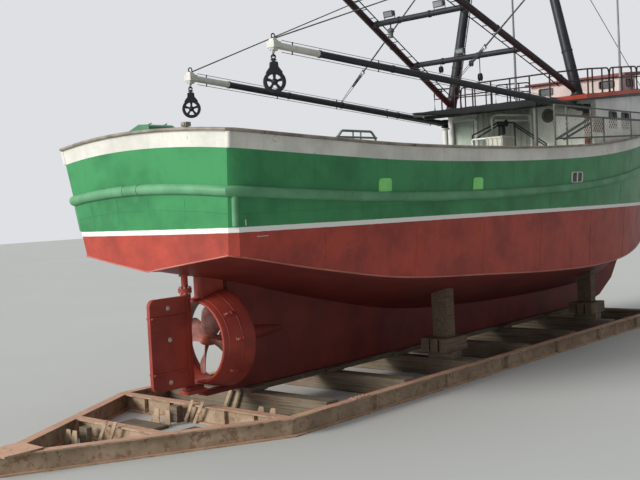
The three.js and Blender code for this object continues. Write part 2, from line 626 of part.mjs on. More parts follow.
function snatchBlock({ tip }) {
  const half = BLOCK.thick / 2;
  const strap = [[-60, -130], [-25, -20], [25, -20], [60, -130], [85, -BLOCK.drop], [-85, -BLOCK.drop]];
  const hung = join(
    bar([-half, 0, -BLOCK.drop], [half, 0, -BLOCK.drop], BLOCK.cheek, 20),
    plate(strap, "x", -half - 8, half + 8),
    bar([0, 0, -40], [0, 0, 0], 18, 8, 8),
  );
  const twist = new THREE.Matrix4().makeRotationZ(degrees(BLOCK.yaw));
  return moved(placed(hung, twist), tip[0], tip[1] - 60, tip[2] - 150 - OUTRIGGER.clear);
}
for (const one of OUTRIGGERS) {
  node(`outrigger_stanchion_${one.name}`, stanchion(one), PAINT.house);
  node(`outrigger_${one.name}`, outrigger(one), PAINT.black);
  node(`snatch_block_${one.name}`, snatchBlock(one), PAINT.black);
}

// The post under the boat deck's overhang, and railings round the deck's edge.
const underDeck = deckSlab(boatDeckPlan, -GAP, 600);
node(
  "boat_deck_post",
  largest(cut(bar([1740, 11050, 3900], [1740, 11050, 6400], 50, 10), hullGrown, underDeck)),
  PAINT.house,
);
const RAILING = { high: 640, middle: 330, radius: 22 };
const deckTop = (y) => boatDeckLow(y) + BOAT_DECK.thick + GAP;
function railing(points) {
  const over = ([x, y], high) => [x, y, deckTop(y) + high];
  const posts = points.map((p) => bar(over(p, -30), over(p, RAILING.high), RAILING.radius, 8));
  const rails = [RAILING.middle, RAILING.high].map((high) =>
    bar(over(points[0], high), over(points.at(-1), high), RAILING.radius, 8));
  return largest(cut(join(...posts, ...rails), boatDeckTop));
}
const evenly = (from, to, count) =>
  Array.from({ length: count }, (_, i) => from.map((a, k) => a + ((to[k] - a) * i) / (count - 1)));
node("railing_aft", railing(evenly([-1300, 12150], [1600, 12150], 6)), PAINT.deckRed);
node("railing_starboard", railing(evenly([2340, 12700], [2340, 15600], 5)), PAINT.deckRed);
node("railing_port", railing(evenly([-2340, 12700], [-2340, 15600], 5)), PAINT.deckRed);
const AERIALS = [["port", -700, 14500, 4300], ["starboard", 1600, 16500, 3600]];
for (const [name, x, y, high] of AERIALS) {
  const pole = bar([x, y, deckTop(y) - 30], [x, y, deckTop(y) + high], 38, 8, 22);
  node(`aerial_mast_${name}`, cut(pole, boatDeckTop), PAINT.white);
}

// Trawl winch: a bed, three cheeks and a fixed shaft, and two drums. A pair of pipes runs aft
// from the house to a leg on the middle cheek.
const WINCH = { y: 12050, z: 4830, shaft: 45, bore: 51, core: 190, flange: 330, cheek: 30 };
const cheeks = [-930, -40, 850];
const winchOutline = [
  [WINCH.y - 420, 4200], [WINCH.y + 420, 4200],
  [WINCH.y + 110, WINCH.z + 110], [WINCH.y - 110, WINCH.z + 110],
];
const PIPES = {
  aft: 11950, fore: HOUSE.aft - 40, high: 6060, apart: 148, low: WINCH.z + WINCH.flange + 20, radius: 30,
  toStarboard: 430,
};
const pipeAft = (z) => [cheeks[1], PIPES.aft, z];
const pipe = (z) => bar(pipeAft(z), [cheeks[1] + PIPES.toStarboard, PIPES.fore, z], PIPES.radius, 10);
const winchFrame = cut(join(
  block(cheeks[0] - 40, cheeks[2] + 40, WINCH.y - 420, WINCH.y + 420, 3900, 4300),
  ...cheeks.map((x) => plate(winchOutline, "x", x - WINCH.cheek / 2, x + WINCH.cheek / 2)),
  bar([cheeks[0], WINCH.y, WINCH.z], [cheeks[2], WINCH.y, WINCH.z], WINCH.shaft, 16),
  pipe(PIPES.high), pipe(PIPES.high - PIPES.apart),
  bar(pipeAft(PIPES.low), pipeAft(PIPES.high), PIPES.radius, 10),
  block(cheeks[1] - 14, cheeks[1] + 14, PIPES.aft - 30, PIPES.aft + 30, WINCH.z + 60, PIPES.low + 30),
), hullGrown);
node("winch_frame", winchFrame, PAINT.green);
const drumProfile = (half) => [
  [WINCH.bore, -half], [WINCH.flange, -half], [WINCH.flange, -half + 22], [WINCH.core, -half + 30],
  [WINCH.core, half - 30], [WINCH.flange, half - 22], [WINCH.flange, half], [WINCH.bore, half],
  [WINCH.bore, -half],
];
for (const [i, name] of [[0, "port"], [1, "starboard"]]) {
  const middle = (cheeks[i] + cheeks[i + 1]) / 2;
  const half = (cheeks[i + 1] - cheeks[i]) / 2 - WINCH.cheek / 2 - 12;
  const drum = placed(turned(drumProfile(half), 20, 0, 0), new THREE.Matrix4().makeRotationZ(-Math.PI / 2));
  node(`winch_drum_${name}`, moved(drum, middle, WINCH.y, WINCH.z), PAINT.steel);
}

// Fish hatch: a raised coaming amidships and a lid hinged at its fore edge.
const HATCH = { half: 700, aft: 7900, fore: 9300, top: 4640, wall: 60, lid: 60, clear: 6 };
const lug = (x) => block(x - 18, x + 18, HATCH.fore - 10, HATCH.fore + 150, HATCH.top - 220, HATCH.top + 75);
const hatchBox = (inset, low, high) =>
  block(inset - HATCH.half, HATCH.half - inset, HATCH.aft + inset, HATCH.fore - inset, low, high);
const coaming = cut(join(
  cut(hatchBox(0, 3800, HATCH.top), hatchBox(HATCH.wall, 3700, 5000)),
  lug(-450), lug(450),
), hullGrown);
node("hatch_coaming", coaming, PAINT.green);
const lidLow = HATCH.top + HATCH.clear;
const hatchHinge = [HATCH.fore + 95, HATCH.top + 35];
const lid = join(
  block(-HATCH.half - 40, HATCH.half + 40, HATCH.aft - 40, HATCH.fore - 20, lidLow, lidLow + HATCH.lid),
  block(-400, 400, HATCH.fore - 40, hatchHinge[0], lidLow + 5, lidLow + HATCH.lid - 5),
  bar([-426, ...hatchHinge], [426, ...hatchHinge], 28, 10),
);
node("hatch_lid", lid, PAINT.green);

// Loose-looking things that are fixed to the deck, each cut to the deck's arch.
const sternGear = join(
  block(-1000, -150, 330, 1050, 3900, 5120),
  plate([[-1000, 5100], [-150, 5100], [-150, 5430], [-420, 5480], [-1000, 5280]], "y", 380, 980),
);
node("stern_gear_box", cut(sternGear, hullGrown), PAINT.green);
const RAIL_FRAME = { aft: 5450, fore: 6780, low: 5180, top: 5480, radius: 28 };
const railFrame = join(
  ...[RAIL_FRAME.aft, 6115, RAIL_FRAME.fore].map((y) =>
    bar([0, y, 3900], [0, y, RAIL_FRAME.top], RAIL_FRAME.radius, 8)),
  ...[RAIL_FRAME.low, RAIL_FRAME.top].map((z) =>
    bar([0, RAIL_FRAME.aft - 20, z], [0, RAIL_FRAME.fore + 20, z], RAIL_FRAME.radius, 8)),
);
node("deck_rail_frame", cut(railFrame, hullGrown), PAINT.steel);
const deckBoxes = join(
  block(250, 1550, 9800, 10500, 3900, 5000),
  block(1020, 1480, 9850, 10450, 4990, 5340),
);
node("deck_boxes", cut(deckBoxes, hullGrown), PAINT.house);
const bitts = join(
  bar([-230, 20300, 5000], [-230, 20300, 6450], 75, 12),
  bar([230, 20300, 5000], [230, 20300, 6450], 75, 12),
  bar([-360, 20300, 6240], [360, 20300, 6240], 45, 10),
);
node("bow_bitts", largest(cut(bitts, hullGrown)), PAINT.black);

// Cradle: side beams that meet in a nose aft, cross beams, cross timbers under the keel, and
// timber cribs under the bilges.
const beamSection = (half, high, web, flange) => [
  [-half, 0], [half, 0], [half, flange], [web / 2, flange], [web / 2, high - flange],
  [half, high - flange], [half, high], [-half, high], [-half, high - flange],
  [-web / 2, high - flange], [-web / 2, flange], [-half, flange],
];
const oblong = (half, low, high) => [[-half, low], [half, low], [half, high], [-half, high]];
const signedArea = (points) =>
  points.reduce((sum, [x, y], i) => {
    const [u, v] = points[(i + 1) % points.length];
    return sum + x * v - u * y;
  }, 0);
// A level beam along a path of [x, y] points, its section given as [across, up] pairs.
function beam(path, section) {
  const rings = path.map((p, i) => {
    const [before, after] = [path[Math.max(i - 1, 0)], path[Math.min(i + 1, path.length - 1)]];
    const into = new THREE.Vector2(p[0] - before[0], p[1] - before[1]).normalize();
    const out = new THREE.Vector2(after[0] - p[0], after[1] - p[1]).normalize();
    const along = into.clone().add(out).normalize();
    const mitre = 1 / Math.max(along.dot(into), along.dot(out));
    const [sideX, sideY] = [along.y * mitre, -along.x * mitre];
    return section.map(([across, up]) => [p[0] + sideX * across, p[1] + sideY * across, up]);
  });
  const turn = Math.sign(signedArea(section));
  const sameTurn = (corners) => Math.sign(signedArea(corners.map((k) => section[k]))) === turn;
  const faces = THREE.ShapeUtils.triangulateShape(section.map(([u, v]) => new THREE.Vector2(u, v)), [])
    .map(([a, b, c]) => (sameTurn([a, b, c]) ? [a, b, c] : [a, c, b]));
  return loft(rings, false, faces);
}
const { nose, base, half: cradleHalf, fore: cradleFore } = CRADLE;
const { high: beamHigh, flange: beamWide, web: beamWeb } = CRADLE;
const sidePath = [[0, nose], [cradleHalf, base], [cradleHalf, cradleFore]];
const iSection = beamSection(beamWide / 2, beamHigh, beamWeb, 26);
const portHalf = block(-500, GAP / 2, nose - 500, nose + 900, -100, 600);
const sideBeam = largest(cut(beam(sidePath, iSection), portHalf));
node("cradle_beam_starboard", sideBeam, PAINT.rust);
node("cradle_beam_port", mirrored(sideBeam), PAINT.rust);
const sideClear = beam(sidePath, oblong(beamWide / 2 + GAP, -50, 500));
const sidesClear = [sideClear, mirrored(sideClear)];
node("cradle_nose_plate", block(-330, 330, nose - 40, nose + 640, beamHigh + GAP, beamHigh + 30), PAINT.rust);
for (const [name, y, reach] of [["aft", -740, 1246], ["fore", 1100, 2243]]) {
  const across = beam([[-reach, y], [reach, y]], iSection);
  node(`cradle_cross_beam_${name}`, largest(cut(across, ...sidesClear)), PAINT.rust);
}
const TIMBERS = [2350, 4700, 7050, 9400, 11750, 14100, 16450];
const timbers = join(
  block(-200, 200, TIMBERS[0], TIMBERS.at(-1), 360, KEEL_BOTTOM - GAP),
  ...TIMBERS.flatMap((y) => [
    block(-cradleHalf, cradleHalf, y - 170, y + 170, 10, 380),
    block(-330, 330, y - 230, y + 230, 370, KEEL_BOTTOM - GAP),
  ]),
);
node("cradle_timbers", largest(cut(timbers, ...sidesClear)), PAINT.timber);
const bilgeHigh = (s, x) =>
  line(KEEL_HIGH, s) + ((line(CHINE_HIGH, s) - line(KEEL_HIGH, s)) * x) / line(CHINE_HALF, s);
const CRIB = { x: 1450, wide: 330, neck: 200, sill: 560, base: 860 };
for (const [number, y] of [[1, TIMBERS[2]], [2, TIMBERS[5]]])
  for (const [side, name] of [[1, "starboard"], [-1, "port"]]) {
    const crib = join(
      block(CRIB.x - CRIB.wide, CRIB.x + CRIB.wide, y - 168, y + 168, 380 + GAP, CRIB.sill),
      block(CRIB.x - CRIB.wide, CRIB.x + CRIB.wide, y - 420, y + 420, CRIB.sill - 10, CRIB.base),
      block(CRIB.x - CRIB.neck, CRIB.x + CRIB.neck, y - 140, y + 140, CRIB.base - 20, 3000),
    );
    const over = block(-3000, 3000, y - 400, y + 400, bilgeHigh(y, CRIB.x) + 180, 4000);
    const shaped = largest(cut(crib, hullGrown, over));
    node(`bilge_post_${name}_${number}`, side > 0 ? shaped : mirrored(shaped), PAINT.timber);
  }

export default root;
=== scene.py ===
# %% [markdown]
# A steel fishing trawler, standing on its cradle. The packed model is the fixed frame: its
# solids say where everything is, and this lesson dresses them. Most pieces are made again as
# smooth surfaces over the faceted solids, from the same few lines and sizes.

# %% The frame
from math import radians

import bmesh
import bpy
import numpy as np
from mathutils import Matrix, Vector


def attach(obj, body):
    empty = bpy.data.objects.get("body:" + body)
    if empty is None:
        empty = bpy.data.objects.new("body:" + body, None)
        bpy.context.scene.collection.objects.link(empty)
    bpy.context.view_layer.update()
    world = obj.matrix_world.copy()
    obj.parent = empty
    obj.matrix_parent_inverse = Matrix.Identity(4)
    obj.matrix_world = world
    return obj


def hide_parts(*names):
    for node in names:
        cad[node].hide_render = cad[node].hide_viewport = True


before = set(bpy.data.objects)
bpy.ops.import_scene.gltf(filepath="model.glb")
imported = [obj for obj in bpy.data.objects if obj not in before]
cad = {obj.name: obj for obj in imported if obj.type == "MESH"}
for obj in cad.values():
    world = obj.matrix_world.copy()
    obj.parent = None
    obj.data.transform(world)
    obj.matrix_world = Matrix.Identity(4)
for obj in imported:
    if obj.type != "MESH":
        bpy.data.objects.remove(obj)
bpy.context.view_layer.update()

# %% [markdown]
# The camera stands aft of the boat and to starboard, nearly 4 m up. Its place and turn are
# real sizes, found by fitting the straight lines of the boat and cradle. Blender's camera
# looks along its own -Z, so the turn is built from three rotations.

# %% Camera
TRANSOM = -9.73  # the transom rail's Y, from which stations along the boat are counted
EYE = (13.362, TRANSOM - 10.586, 3.923)
HEADING, PITCH, ROLL = radians(41.155), radians(-2.193), radians(-2.784)
FOCAL_PIXELS, PICTURE_WIDE, SENSOR, FAR = 960.15, 640, 36.0, 500

camera = bpy.data.objects.new("camera", bpy.data.cameras.new("camera"))
camera.data.sensor_width = SENSOR
camera.data.lens = FOCAL_PIXELS / PICTURE_WIDE * SENSOR
camera.data.clip_end = FAR
camera.matrix_world = (
    Matrix.Translation(EYE)
    @ Matrix.Rotation(HEADING, 4, "Z")
    @ Matrix.Rotation(radians(90) + PITCH, 4, "X")
    @ Matrix.Rotation(ROLL, 4, "Z")
)
bpy.context.scene.collection.objects.link(camera)
bpy.context.scene.camera = camera
bpy.context.scene.view_settings.view_transform = "Standard"
print("lens", round(camera.data.lens, 1), "mm,", EYE[2], "m above the floor")

# %% [markdown]
# Every surface starts as arrays. A shell is a pair: an array of points, and a list of faces
# that count into it. A grid of points becomes quads in one step, because the four corners of
# every cell are the same index array shifted by one row and one column.


# %% Grids and shells
def grid(points, wrap_rows=False, wrap_columns=False):
    """Quads between neighbouring rows and columns of an (m, n, 3) array of points."""
    rows, columns = points.shape[:2]
    index = np.arange(rows * columns).reshape(rows, columns)
    if wrap_rows:
        index = np.vstack([index, index[:1]])
    if wrap_columns:
        index = np.hstack([index, index[:, :1]])
    corners = [index[:-1, :-1], index[:-1, 1:], index[1:, 1:], index[1:, :-1]]
    return points.reshape(-1, 3), np.stack([c.ravel() for c in corners], axis=1).tolist()


def merge(*shells):
    """One shell from several: each list of faces is moved on by the points before it."""
    points, faces, count = [], [], 0
    for shell_points, shell_faces in shells:
        points.append(np.asarray(shell_points, float))
        faces += [[i + count for i in face] for face in shell_faces]
        count += len(shell_points)
    return np.vstack(points), faces


def closed(points):
    """A grid whose rows are closed rings, with a flat face over its first and last ring."""
    rings, faces = grid(points, wrap_columns=True)
    count = points.shape[1]
    last = len(rings) - count
    return rings, faces + [list(range(count))[::-1], list(range(last, last + count))]


print("two rings of four points close to a box of", len(closed(np.zeros((2, 4, 3)))[1]), "faces")

# %% [markdown]
# Pipes and spars are a ring carried along a path. The ring needs two directions square to
# the path: the first comes from a fixed reference direction, the second from a cross product.

# %% Pipes
ORIGIN = (0, 0, 0)
ATHWART, FORWARD, UP = (1, 0, 0), (0, 1, 0), (0, 0, 1)
TINY, STEEP = 1e-6, 0.9
END_SHARE = 0.8  # how thick a pipe with rounded ends still is at its very end


def unit(v):
    """The same directions with length 1."""
    v = np.asarray(v, float)
    return v / np.linalg.norm(v, axis=-1, keepdims=True)


def reference_for(along):
    """A fixed direction that doesn't lie close to the given one."""
    return UP if abs(along[2]) < STEEP else FORWARD


def carry(profile, path, reference=UP):
    """A closed (k, 2) profile carried along an (m, 3) path: point = path + a * side + b * top."""
    path = np.asarray(path, float)
    along = unit(np.gradient(path, axis=0))
    side = np.cross(along, np.asarray(reference, float))
    short = np.linalg.norm(side, axis=1) < TINY
    side[short] = np.cross(along[short], FORWARD)
    side = unit(side)
    top = np.cross(side, along)
    profile = np.asarray(profile, float)
    if profile.ndim == 2:
        profile = np.repeat(profile[None], len(path), axis=0)
    return closed(
        path[:, None]
        + profile[:, :, :1] * side[:, None]
        + profile[:, :, 1:] * top[:, None]
    )


def circle(radius, sides=16):
    """Points of a circle: (r cos a, r sin a) at even angles."""
    angle = np.linspace(0, 2 * np.pi, sides, endpoint=False)
    return np.stack([np.cos(angle), np.sin(angle)], axis=1) * radius


def pipe(points, radius, sides=14, rounded=0.0):
    """A round pipe along straight stretches; radius is one number or one for each point."""
    points = np.asarray(points, float)
    radius = np.broadcast_to(np.asarray(radius, float), len(points))
    if rounded:
        inward = unit(points[1] - points[0]) * rounded
        outward = unit(points[-1] - points[-2]) * rounded
        ends = points[0] + inward, points[-1] - outward
        points = np.vstack([points[:1], ends[0], points[1:-1], ends[1], points[-1:]])
        radius = np.concatenate([radius[:1] * END_SHARE, radius, radius[-1:] * END_SHARE])
    rings = circle(1.0, sides)[None] * radius[:, None, None]
    return carry(rings, points, reference_for(unit(points[-1] - points[0])))


print("a straight pipe has", len(pipe([ORIGIN, UP], 0.1)[1]), "faces")

# %% [markdown]
# Whatever is short and round is a profile turned about an axis, as on a lathe.


# %% Turned shapes
def turned(profile, centre, axis, sides=48):
    """A closed profile of (radius, along) pairs turned about an axis through centre."""
    axis = unit(axis)
    across = unit(np.cross(axis, reference_for(axis)))
    other = np.cross(axis, across)
    ring = circle(1.0, sides)
    outward = ring[:, :1] * across + ring[:, 1:] * other
    profile = np.asarray(profile, float)
    points = (
        np.asarray(centre, float)
        + profile[None, :, 1:] * axis
        + profile[None, :, :1] * outward[:, None]
    )
    return grid(points, True, True)


def peg(radius, low, high):
    """Profile of a plain round bar, to be turned."""
    return [[0, low], [radius, low], [radius, high], [0, high]]


def doubled(half, flip=(1, -1)):
    """Half an outline, then its mirror image walked back."""
    half = np.asarray(half, float)
    return np.vstack([half, half[::-1] * flip])


print("a turned peg has", len(turned(peg(0.1, 0, 1), ORIGIN, UP)[1]), "faces")

# %% [markdown]
# Flat parts are an outline given a thickness, and a box needs only two corners. A part is drawn
# once and then turned, moved or mirrored, which is less work than placing every copy.


# %% Blocks, plates and copies
def block(low, high):
    """The eight corners and six faces of a box; a bevel rounds its edges afterwards."""
    corners = np.array([[x, y, z] for x in (0, 1) for y in (0, 1) for z in (0, 1)], float)
    points = np.asarray(low, float) + corners * (np.asarray(high, float) - np.asarray(low, float))
    return points, [[0, 1, 3, 2], [4, 6, 7, 5], [0, 4, 5, 1], [2, 3, 7, 6], [0, 2, 6, 4], [1, 5, 7, 3]]


def plate(outline, thickness, axis=0):
    """A flat outline of (a, b) pairs made thick along one axis, from thickness[0] to [1]."""
    outline = np.asarray(outline, float)
    other = [i for i in range(3) if i != axis]
    faces = np.zeros((2, len(outline), 3))
    for layer, at in enumerate(thickness):
        faces[layer][:, other] = outline
        faces[layer][:, axis] = at
    return closed(faces)


def turn_about(shell, centre, axis, degrees):
    """The shell turned about an axis through centre."""
    points, faces = shell
    matrix = np.array(Matrix.Rotation(radians(degrees), 3, Vector(axis)))
    centre = np.asarray(centre, float)
    return (points - centre) @ matrix.T + centre, faces


def moved(shell, step):
    """The shell a step away."""
    return shell[0] + np.asarray(step, float), shell[1]


def mirrored(shell):
    """The other side's copy: X changes sign, and each face is read backwards."""
    points, faces = shell
    return points * (-1, 1, 1), [face[::-1] for face in faces]


def both(shell):
    """A starboard shell and its copy to port."""
    return merge(shell, mirrored(shell))


print("a block has", len(block(ORIGIN, (1, 1, 1))[1]), "faces")

# %% [markdown]
# One function turns a shell into an object. It welds doubled points, turns the faces outward,
# keeps edges sharp where plates meet, and gives the piece its material, body and slot.
# Colours are written as screen colours, as an eye reads them off paint, and are changed to
# linear light here.

# %% Making a piece
SHARP, BEVEL_FROM, WELD = radians(32), radians(40), 1e-5
SIDES = (("starboard", 1), ("port", -1))


def piece(name, shell, material, stands_for=(), body="root", bevel=0.0, groups=None):
    """An object from a shell or a list of them. groups gives each face's place in material."""
    if isinstance(shell, list):
        shell = merge(*shell)
    mesh = bpy.data.meshes.new(name)
    mesh.from_pydata(np.asarray(shell[0]).tolist(), [], shell[1])
    coats = material if isinstance(material, list) else [material]
    for coat in coats:
        mesh.materials.append(coat)
    if groups is not None:
        mesh.polygons.foreach_set("material_index", np.asarray(groups, np.int32))
    work = bmesh.new()
    work.from_mesh(mesh)
    bmesh.ops.remove_doubles(work, verts=work.verts, dist=WELD)
    bmesh.ops.recalc_face_normals(work, faces=work.faces)
    work.to_mesh(mesh)
    work.free()
    mesh.shade_smooth()
    mesh.set_sharp_from_angle(angle=SHARP)
    made = bpy.data.objects.new(name, mesh)
    bpy.context.scene.collection.objects.link(made)
    if bevel:
        edge = made.modifiers.new("edge", "BEVEL")
        edge.width = bevel
        edge.segments = 2
        edge.limit_method = "ANGLE"
        edge.angle_limit = BEVEL_FROM
    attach(made, body)
    if stands_for:
        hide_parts(*stands_for)
    return made


def linear(screen):
    """Linear light from a screen colour written as 0xRRGGBB."""
    values = np.array([(screen >> shift & 255) / 255 for shift in (16, 8, 0)])
    light = np.where(values <= 0.04045, values / 12.92, ((values + 0.055) / 1.055) ** 2.4)
    return (*light.tolist(), 1.0)


print("screen grey 0x808080 is", round(linear(0x808080)[0], 3), "in linear light")

# %% [markdown]
# A material is a small graph of nodes. This helper keeps it short: it makes a node, sets its
# inputs, and links whatever is itself a socket. Patterns read Object coordinates, which are
# the boat's own metres, so a rust spot is the same size on every piece.

# %% Node helper
DULL = 0.3  # reflection of old paint, less than the shader's 0.5


class Graph:
    """One material's nodes. Each method adds a node and returns the socket it ends in."""

    def __init__(self, name):
        self.material = bpy.data.materials.new(name)
        self.material.use_nodes = True
        self.nodes = self.material.node_tree.nodes
        self.links = self.material.node_tree.links
        self.shader = self.nodes["Principled BSDF"]
        self.place = self.add("TexCoord").outputs["Object"]

    def add(self, kind, inputs=None, **settings):
        """A node with its settings, and its inputs linked or filled."""
        node = self.nodes.new("ShaderNode" + kind)
        for key, value in settings.items():
            setattr(node, key, value)
        for key, value in (inputs or {}).items():
            self.give(node.inputs[key], value)
        return node

    def give(self, socket, value):
        """Links another node's socket to this one, or sets its value."""
        if isinstance(value, bpy.types.NodeSocket):
            self.links.new(value, socket)
        else:
            socket.default_value = value

    def sum(self, operation, a, b=0.0, clamp=False):
        """One step of arithmetic with a and b."""
        node = self.add("Math", {0: a, 1: b}, operation=operation)
        node.use_clamp = clamp
        return node.outputs[0]

    def times(self, a, b):
        """a * b."""
        return self.sum("MULTIPLY", a, b)

    def stretch(self, scale):
        """Object coordinates times a scale for each axis."""
        node = self.add("Mapping", {"Vector": self.place, "Scale": scale})
        return node.outputs["Vector"]

    def noise(self, scale, detail=4.0, rough=0.55, vector=None, distort=0.0):
        """Cloudy values round 0.5; spots measure about 1 / scale."""
        inputs = {"Scale": scale, "Detail": detail, "Roughness": rough, "Distortion": distort}
        inputs["Vector"] = self.place if vector is None else vector
        return self.add("TexNoise", inputs).outputs["Fac"]

    def step(self, value, low, high):
        """0 below low, 1 above high, and a smooth ramp between."""
        inputs = {"Value": value, "From Min": low, "From Max": high}
        node = self.add("MapRange", inputs, interpolation_type="SMOOTHSTEP")
        return node.outputs["Result"]

    def mix(self, amount, a, b):
        """a * (1 - amount) + b * amount."""
        node = self.add("Mix", data_type="RGBA")
        self.give(node.inputs[0], amount)
        self.give(node.inputs[6], a)
        self.give(node.inputs[7], b)
        return node.outputs[2]

    def bump(self, height, strength, distance, normal=None):
        """The normal, tilted by the slope of a height."""
        inputs = {"Height": height, "Strength": strength, "Distance": distance}
        if normal is not None:
            inputs["Normal"] = normal
        return self.add("Bump", inputs).outputs["Normal"]

    def finish(self, colour, roughness, normal=None):
        """The shader's own inputs; returns the material."""
        self.give(self.shader.inputs["Base Color"], colour)
        self.give(self.shader.inputs["Roughness"], roughness)
        self.give(self.shader.inputs["Metallic"], 0.0)
        self.give(self.shader.inputs["Specular IOR Level"], DULL)
        if normal is not None:
            self.give(self.shader.inputs["Normal"], normal)
        return self.material


print("node helper:", ", ".join(name for name in vars(Graph) if name[0] != "_"))

# %% [markdown]
# Marine paint is brushed and rolled on in patches, so one colour drifts a little over a metre
# or so. Rain draws thin vertical streaks down it, and chips show the steel underneath. One
# recipe with a few named amounts covers every plain paint on board.

# %% Plain paint
RUST = linear(0x6E4630)
DARK_RUST = linear(0x3B241A)
INK, CHALK = (0.0, 0.0, 0.0, 1.0), (1.0, 1.0, 1.0, 1.0)
FORE_FROM = (3.58, 3.62)  # the Y at which the second colour of a paint takes over


def paint(name, colour, chips=0.3, streaks=0.3, roughness=0.5, patch=1.2, light=0.12, fore=None):
    """One colour, or two: fore takes over forward of the deckhouse's aft wall."""
    g = Graph(name)
    base = linear(colour)
    if fore is not None:
        along = g.add("SeparateXYZ", {"Vector": g.place}).outputs["Y"]
        base = g.mix(g.step(along, *FORE_FROM), base, linear(fore))
    drift = g.step(g.noise(patch, 5.0, 0.6), 0.3, 0.7)
    body = g.mix(drift, g.mix(2.0 * light, base, INK), g.mix(0.35 * light, base, CHALK))
    rain = g.noise(1.0, 4.0, 0.6, g.stretch((9.0, 9.0, 0.5)))
    streak = g.times(g.step(rain, 0.52, 0.78), streaks)
    body = g.mix(streak, body, g.mix(0.45, base, INK))
    flake = g.noise(5.5, 8.0, 0.72, distort=0.4)
    worn = g.step(flake, 0.74 - 0.14 * chips, 0.76 - 0.14 * chips)
    halo = g.step(flake, 0.66 - 0.14 * chips, 0.76 - 0.14 * chips)
    body = g.mix(g.times(halo, 0.45), body, RUST)
    body = g.mix(worn, body, g.mix(g.noise(30.0), DARK_RUST, RUST))
    rough = g.sum("ADD", roughness, g.times(worn, 0.3), clamp=True)
    grain = g.bump(g.noise(60.0, 3.0), 0.12, 0.004)
    return g.finish(body, rough, g.bump(worn, 0.35, -0.0015, grain))


WHITE = paint("white_paint", 0xE4E2DA, chips=0.35)
BLACK = paint("black_paint", 0x24282E, chips=0.5, streaks=0.2, roughness=0.42, patch=3.0, light=0.03)
DECK_RED = paint("deck_red_paint", 0xCB5238, chips=0.35)
RAILING = paint("railing_paint", 0x33211F, chips=0.4, streaks=0.2, light=0.04)
GEAR_GREEN = paint("gear_green_paint", 0x4E8F68, chips=0.7, streaks=0.4)
RAIL_STEEL = paint("rail_steel", 0x978C7E, chips=0.8, streaks=0.5, patch=3.0, light=0.2)
DECK_PAINT = paint("deck_paint", 0x7E8A7C, chips=1.2, streaks=0.2, roughness=0.7)
print("plain paints made")

# %% [markdown]
# Hull paint is one material with three zones by height: red antifouling, the white waterline
# stripe and the green topside. The zones follow a straight, slightly tilted waterline, so the
# material works the line's height out from Object Y. Brushed-over plating shows as broad soft
# patches in the green.

# %% Hull colours
GREEN, GREEN_PALE, GREEN_DARK = linear(0x3E9059), linear(0x55A36E), linear(0x2C7346)
RED, RED_PALE, RED_DARK = linear(0xB4493A), linear(0xC9604C), linear(0x8E3A32)
# SHADE_RED is painted shade: the dark red for the keel and for faces that look down.
STRIPE_WHITE, SHADE_RED = linear(0xF0EFEA), linear(0x451A1C)
STRIPE = {"low": 3.512, "fall": 0.0055, "thick": 0.085}
FRAME_SPACING = 0.62


def red_body(g):
    """Red bottom paint: rolled patches, faint runs and a few scraped spots."""
    body = g.mix(g.step(g.noise(1.3, 6.0, 0.62), 0.32, 0.68), RED_DARK, RED)
    body = g.mix(g.times(g.step(g.noise(4.0, 6.0, 0.7), 0.55, 0.8), 0.45), body, RED_PALE)
    runs = g.step(g.noise(1.0, 3.0, 0.6, g.stretch((7.0, 7.0, 0.6))), 0.5, 0.85)
    body = g.mix(g.times(runs, 0.3), body, RED_DARK)
    scrape = g.step(g.noise(9.0, 8.0, 0.75), 0.735, 0.76)
    return g.mix(g.times(scrape, 0.6), body, linear(0x8A6A60)), scrape


def green_body(g):
    """Green topside: pale repaired patches, darker runs and rubbed spots of older paint."""
    body = g.mix(g.step(g.noise(0.9, 6.0, 0.62), 0.35, 0.72), GREEN, GREEN_DARK)
    patch = g.step(g.noise(1.7, 7.0, 0.7, distort=0.5), 0.56, 0.74)
    body = g.mix(g.times(patch, 0.35), body, GREEN_PALE)
    runs = g.step(g.noise(1.0, 4.0, 0.6, g.stretch((8.0, 8.0, 0.45))), 0.5, 0.82)
    body = g.mix(g.times(runs, 0.3), body, GREEN_DARK)
    scuff = g.step(g.noise(6.5, 9.0, 0.76, distort=0.3), 0.7, 0.73)
    return g.mix(g.times(scuff, 0.55), body, linear(0x9CB9A0))


print("stripe from", STRIPE["low"], "m, and", STRIPE["thick"], "m high")

# %% [markdown]
# The plates between the frames are dished by a few millimetres, which shows in the light but
# not in the outline, so a bump is enough. Bottom paint is painted darker where the hull faces down: painted
# shade.


# %% Hull materials
def plate_dents(g):
    """Shallow dishing between frames: a soft noise plus one wave per frame space."""
    split = g.add("SeparateXYZ", {"Vector": g.place}).outputs
    wave = g.sum("SINE", g.times(split["Y"], 2 * np.pi / FRAME_SPACING))
    broad = g.noise(0.8, 2.0, 0.5)
    height = g.sum("ADD", g.times(wave, 0.1), broad)
    grain = g.bump(g.noise(45.0, 4.0, 0.6), 0.10, 0.004)
    return g.bump(height, 0.35, 0.02, grain), split


def shade_facing_down(g, red):
    """Painted shade: under the chine, where faces look down, the red is mixed towards a darker red."""
    facing = g.add("NewGeometry").outputs["Normal"]
    down = g.add("SeparateXYZ", {"Vector": facing}).outputs["Z"]
    return g.mix(g.step(down, -0.12, -0.45), red, g.mix(0.62, red, SHADE_RED))


